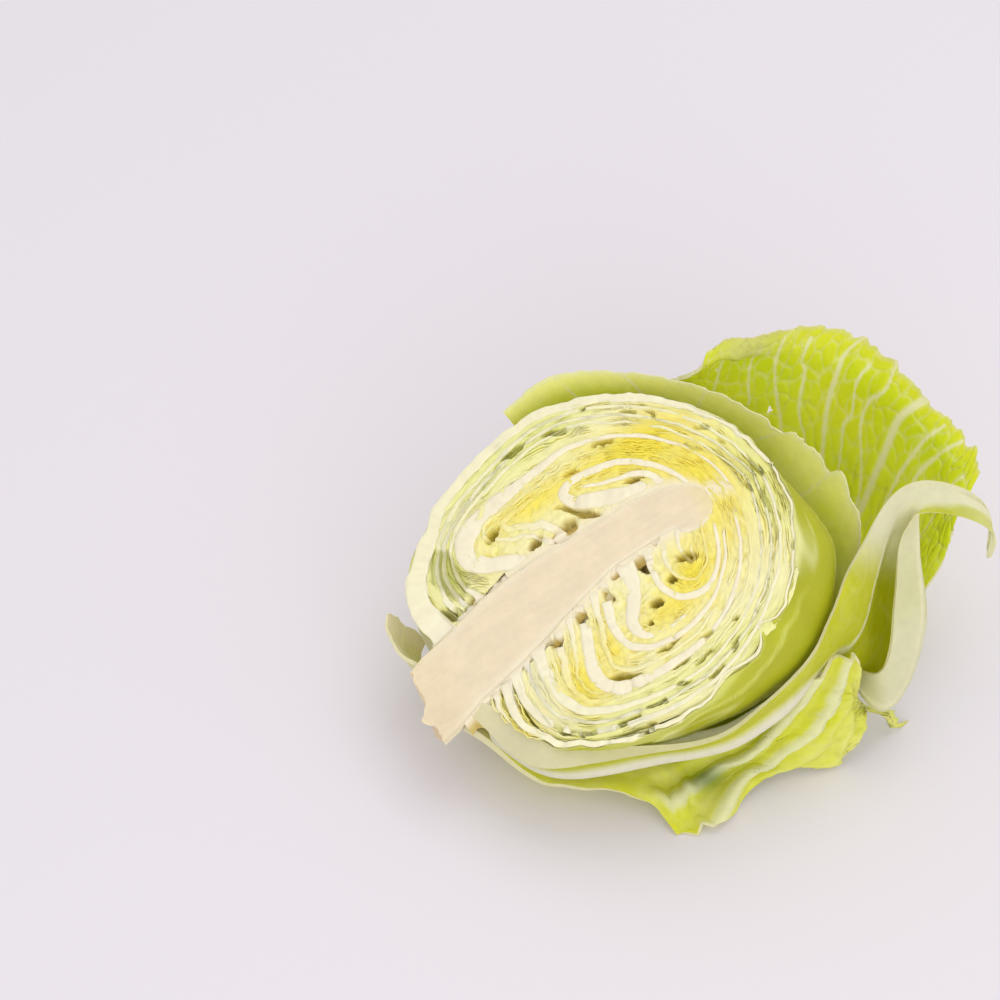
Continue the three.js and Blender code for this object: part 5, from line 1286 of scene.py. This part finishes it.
def leaf_colour(leaf, face, marks, rim, white_pad, flat, u, v, seed):
    """Colour of one face of a blade."""
    def sheet(x):
        return x[..., None]

    down, over = u[:, None], v[None]
    white = marks["rib"] + 0.75 * leaf["net"] * marks["net"] * (1 - marks["rib"])
    white = np.clip(white + 0.06 * marks["fine"], 0, 1)
    share = 0.45 + 0.6 * noise(flat, 20, seed + 7) + 0.2 * noise(flat, 5, seed + 8)
    first, second = leaf[face]
    if "margin" in leaf:
        pale, far = leaf["margin"]
        share = mix(share, 1, smooth((down - 1 + 2.2 * far) / (2 * far)))
    colour = mix(first, second, sheet(np.clip(share, 0, 1)))
    if "margin" in leaf:
        colour = mix(colour, pale, sheet(0.7 * smooth((down - 1 + 0.5 * far) / (0.5 * far))))
    colour = mix(colour, mix(VEIN, RIB_WHITE, 0.5 if face == "outer" else 0), sheet(white))
    colour = mix(colour, CREST, sheet(0.92 * marks["crest"]))
    colour = mix(colour, LEAF_FOOT, sheet(1 - smooth((down - 0.02) / 0.08)))
    # Painted shade in the deep notch between the lobes.
    colour = mix(colour, NOTCH_SHADE_GREEN, sheet(0.7 * marks["notch"]))
    if "curl" in leaf:
        # Painted light: a brighter band across the middle of the back leaf, as if lit through.
        colour = mix(colour, PAINTED_GLOW_GREEN, sheet(0.7 * bell(down, 0.7, 0.12) * (1 - white)))
        colour = mix(colour, mix(PALE_GREEN, FRESH_GREEN, 0.3), sheet(0.8 * np.clip(marks["curled"], 0, 1)))
    if "pale_tip" in leaf:
        start, upto = leaf["pale_tip"]
        upto = upto + np.minimum(2.5 * (down - start), 0.4) - 4 * np.maximum(0, down - 0.86)
        tip = smooth((down - start) / 0.1) * (1 - smooth((over - upto) / 0.3))
        tip = np.maximum(tip, 0.45 * smooth((down - 0.84) / 0.08))
        colour = mix(colour, LEAF_BACK, sheet(0.95 * tip))
    ridge = np.clip(marks["relief"] / 2.4, 0, 1) * ("bowed" in leaf)
    if face == "inner":
        return mix(colour, RIDGE_WHITE, sheet(ridge))
    if "bowed" in leaf:
        trough = smooth((0.54 - down) / 0.08) * smooth((over - 0.14) / 0.16)
        colour = mix(colour, TROUGH_LIME, sheet(0.9 * trough))
    foot = (0.2 if "folds" in leaf else 0.7) * (1 - smooth((down - 0.1) / 0.35))
    wall = np.maximum(np.maximum(rim, ridge), white_pad)
    return mix(mix(colour, PALE_GREEN, sheet(foot)), WALL_WHITE, sheet(wall))


def build_leaf(name):
    """A loose leaf, from its net of points to a piece."""
    leaf = LEAVES[name]
    seed = 40 + 17 * len(name)
    u, v = map(shares, leaf["grid"])
    flat, ragged = leaf_shape(name, leaf, u, v, seed)
    marks = leaf_marks(name, leaf, flat, ragged, u, v, seed)
    outer, inner, rim, white_pad = leaf_faces(leaf, flat, marks, u, v)
    colours = [leaf_colour(leaf, face, marks, rim, white_pad, flat, u, v, seed)
               for face in ("outer", "inner")]
    keep = np.ones((len(u) - 1, len(v) - 1), bool)
    for down, over, reach_down, reach_over in leaf.get("holes", []):
        keep &= np.hypot((u[:-1, None] - down) / reach_down, (v[None, :-1] - over) / reach_over) > 1
    mesh = Mesh()
    add_blade(mesh, outer, inner, *colours, mix(PALE_GREEN, RIB_WHITE, 0.7), keep)
    mesh.build(name + "_detail", name, leaf["slot"], BLADE)


# ---- Stage ----
FLOOR_SIZE, FLOOR_CENTRE, FLOOR_COLOUR = 6, (0, 0.5, 0), (0.825, 0.785, 0.83, 1)
SKY, SKY_STRENGTH = (1.0, 0.985, 1.0, 1), 0.79
LAMP_AIM = Vector((0, 0, 0.05))
# Each lamp: place, size and power.
LAMPS = {"key": ((0.3, 0.45, 1.5), 1.1, 4.4), "fill": ((0.25, -1.5, 0.55), 1.6, 9.5)}
EYE, EYE_TILT, LENS, SENSOR = (-0.0493, -0.6949, 0.8797), 43, 85.909, 36


def build_floor():
    bpy.ops.mesh.primitive_plane_add(size=FLOOR_SIZE, location=FLOOR_CENTRE)
    floor = bpy.context.object
    floor.name = "table_top"
    paint = bpy.data.materials.new("table_paint")
    paint.use_nodes = True
    surface = paint.node_tree.nodes["Principled BSDF"]
    surface.inputs["Base Color"].default_value = FLOOR_COLOUR
    surface.inputs["Roughness"].default_value = 0.7
    surface.inputs["Specular IOR Level"].default_value = 0.1
    floor.data.materials.append(paint)
    floor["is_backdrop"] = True


def build_light():
    studio = bpy.data.worlds.new("studio")
    studio.use_nodes = True
    sky = studio.node_tree.nodes["Background"]
    sky.inputs["Color"].default_value = SKY
    sky.inputs["Strength"].default_value = SKY_STRENGTH
    bpy.context.scene.world = studio
    for name, (place_at, size, power) in LAMPS.items():
        lamp = bpy.data.lights.new(name, "AREA")
        lamp.size, lamp.energy = size, power
        light = bpy.data.objects.new(name, lamp)
        light.location = place_at
        light.rotation_euler = (LAMP_AIM - Vector(place_at)).to_track_quat("-Z", "Y").to_euler()
        bpy.context.collection.objects.link(light)
        light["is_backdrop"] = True


def build_camera():
    camera = bpy.data.cameras.new("camera")
    camera.lens, camera.sensor_width = LENS, SENSOR
    eye = bpy.data.objects.new("camera", camera)
    eye.location = EYE
    eye.rotation_euler = (math.radians(EYE_TILT), 0, 0)
    bpy.context.collection.objects.link(eye)
    bpy.context.scene.camera = eye
    bpy.context.scene.view_settings.view_transform = "Standard"


def plain(value):
    return [plain(v) for v in value] if hasattr(value, "__len__") else float(value)


build_core()
build_head()
for leaf_name in LEAVES:
    build_leaf(leaf_name)
build_floor()
build_light()
build_camera()

{"packed": plain(packed_bounds), "visual": plain(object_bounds())}
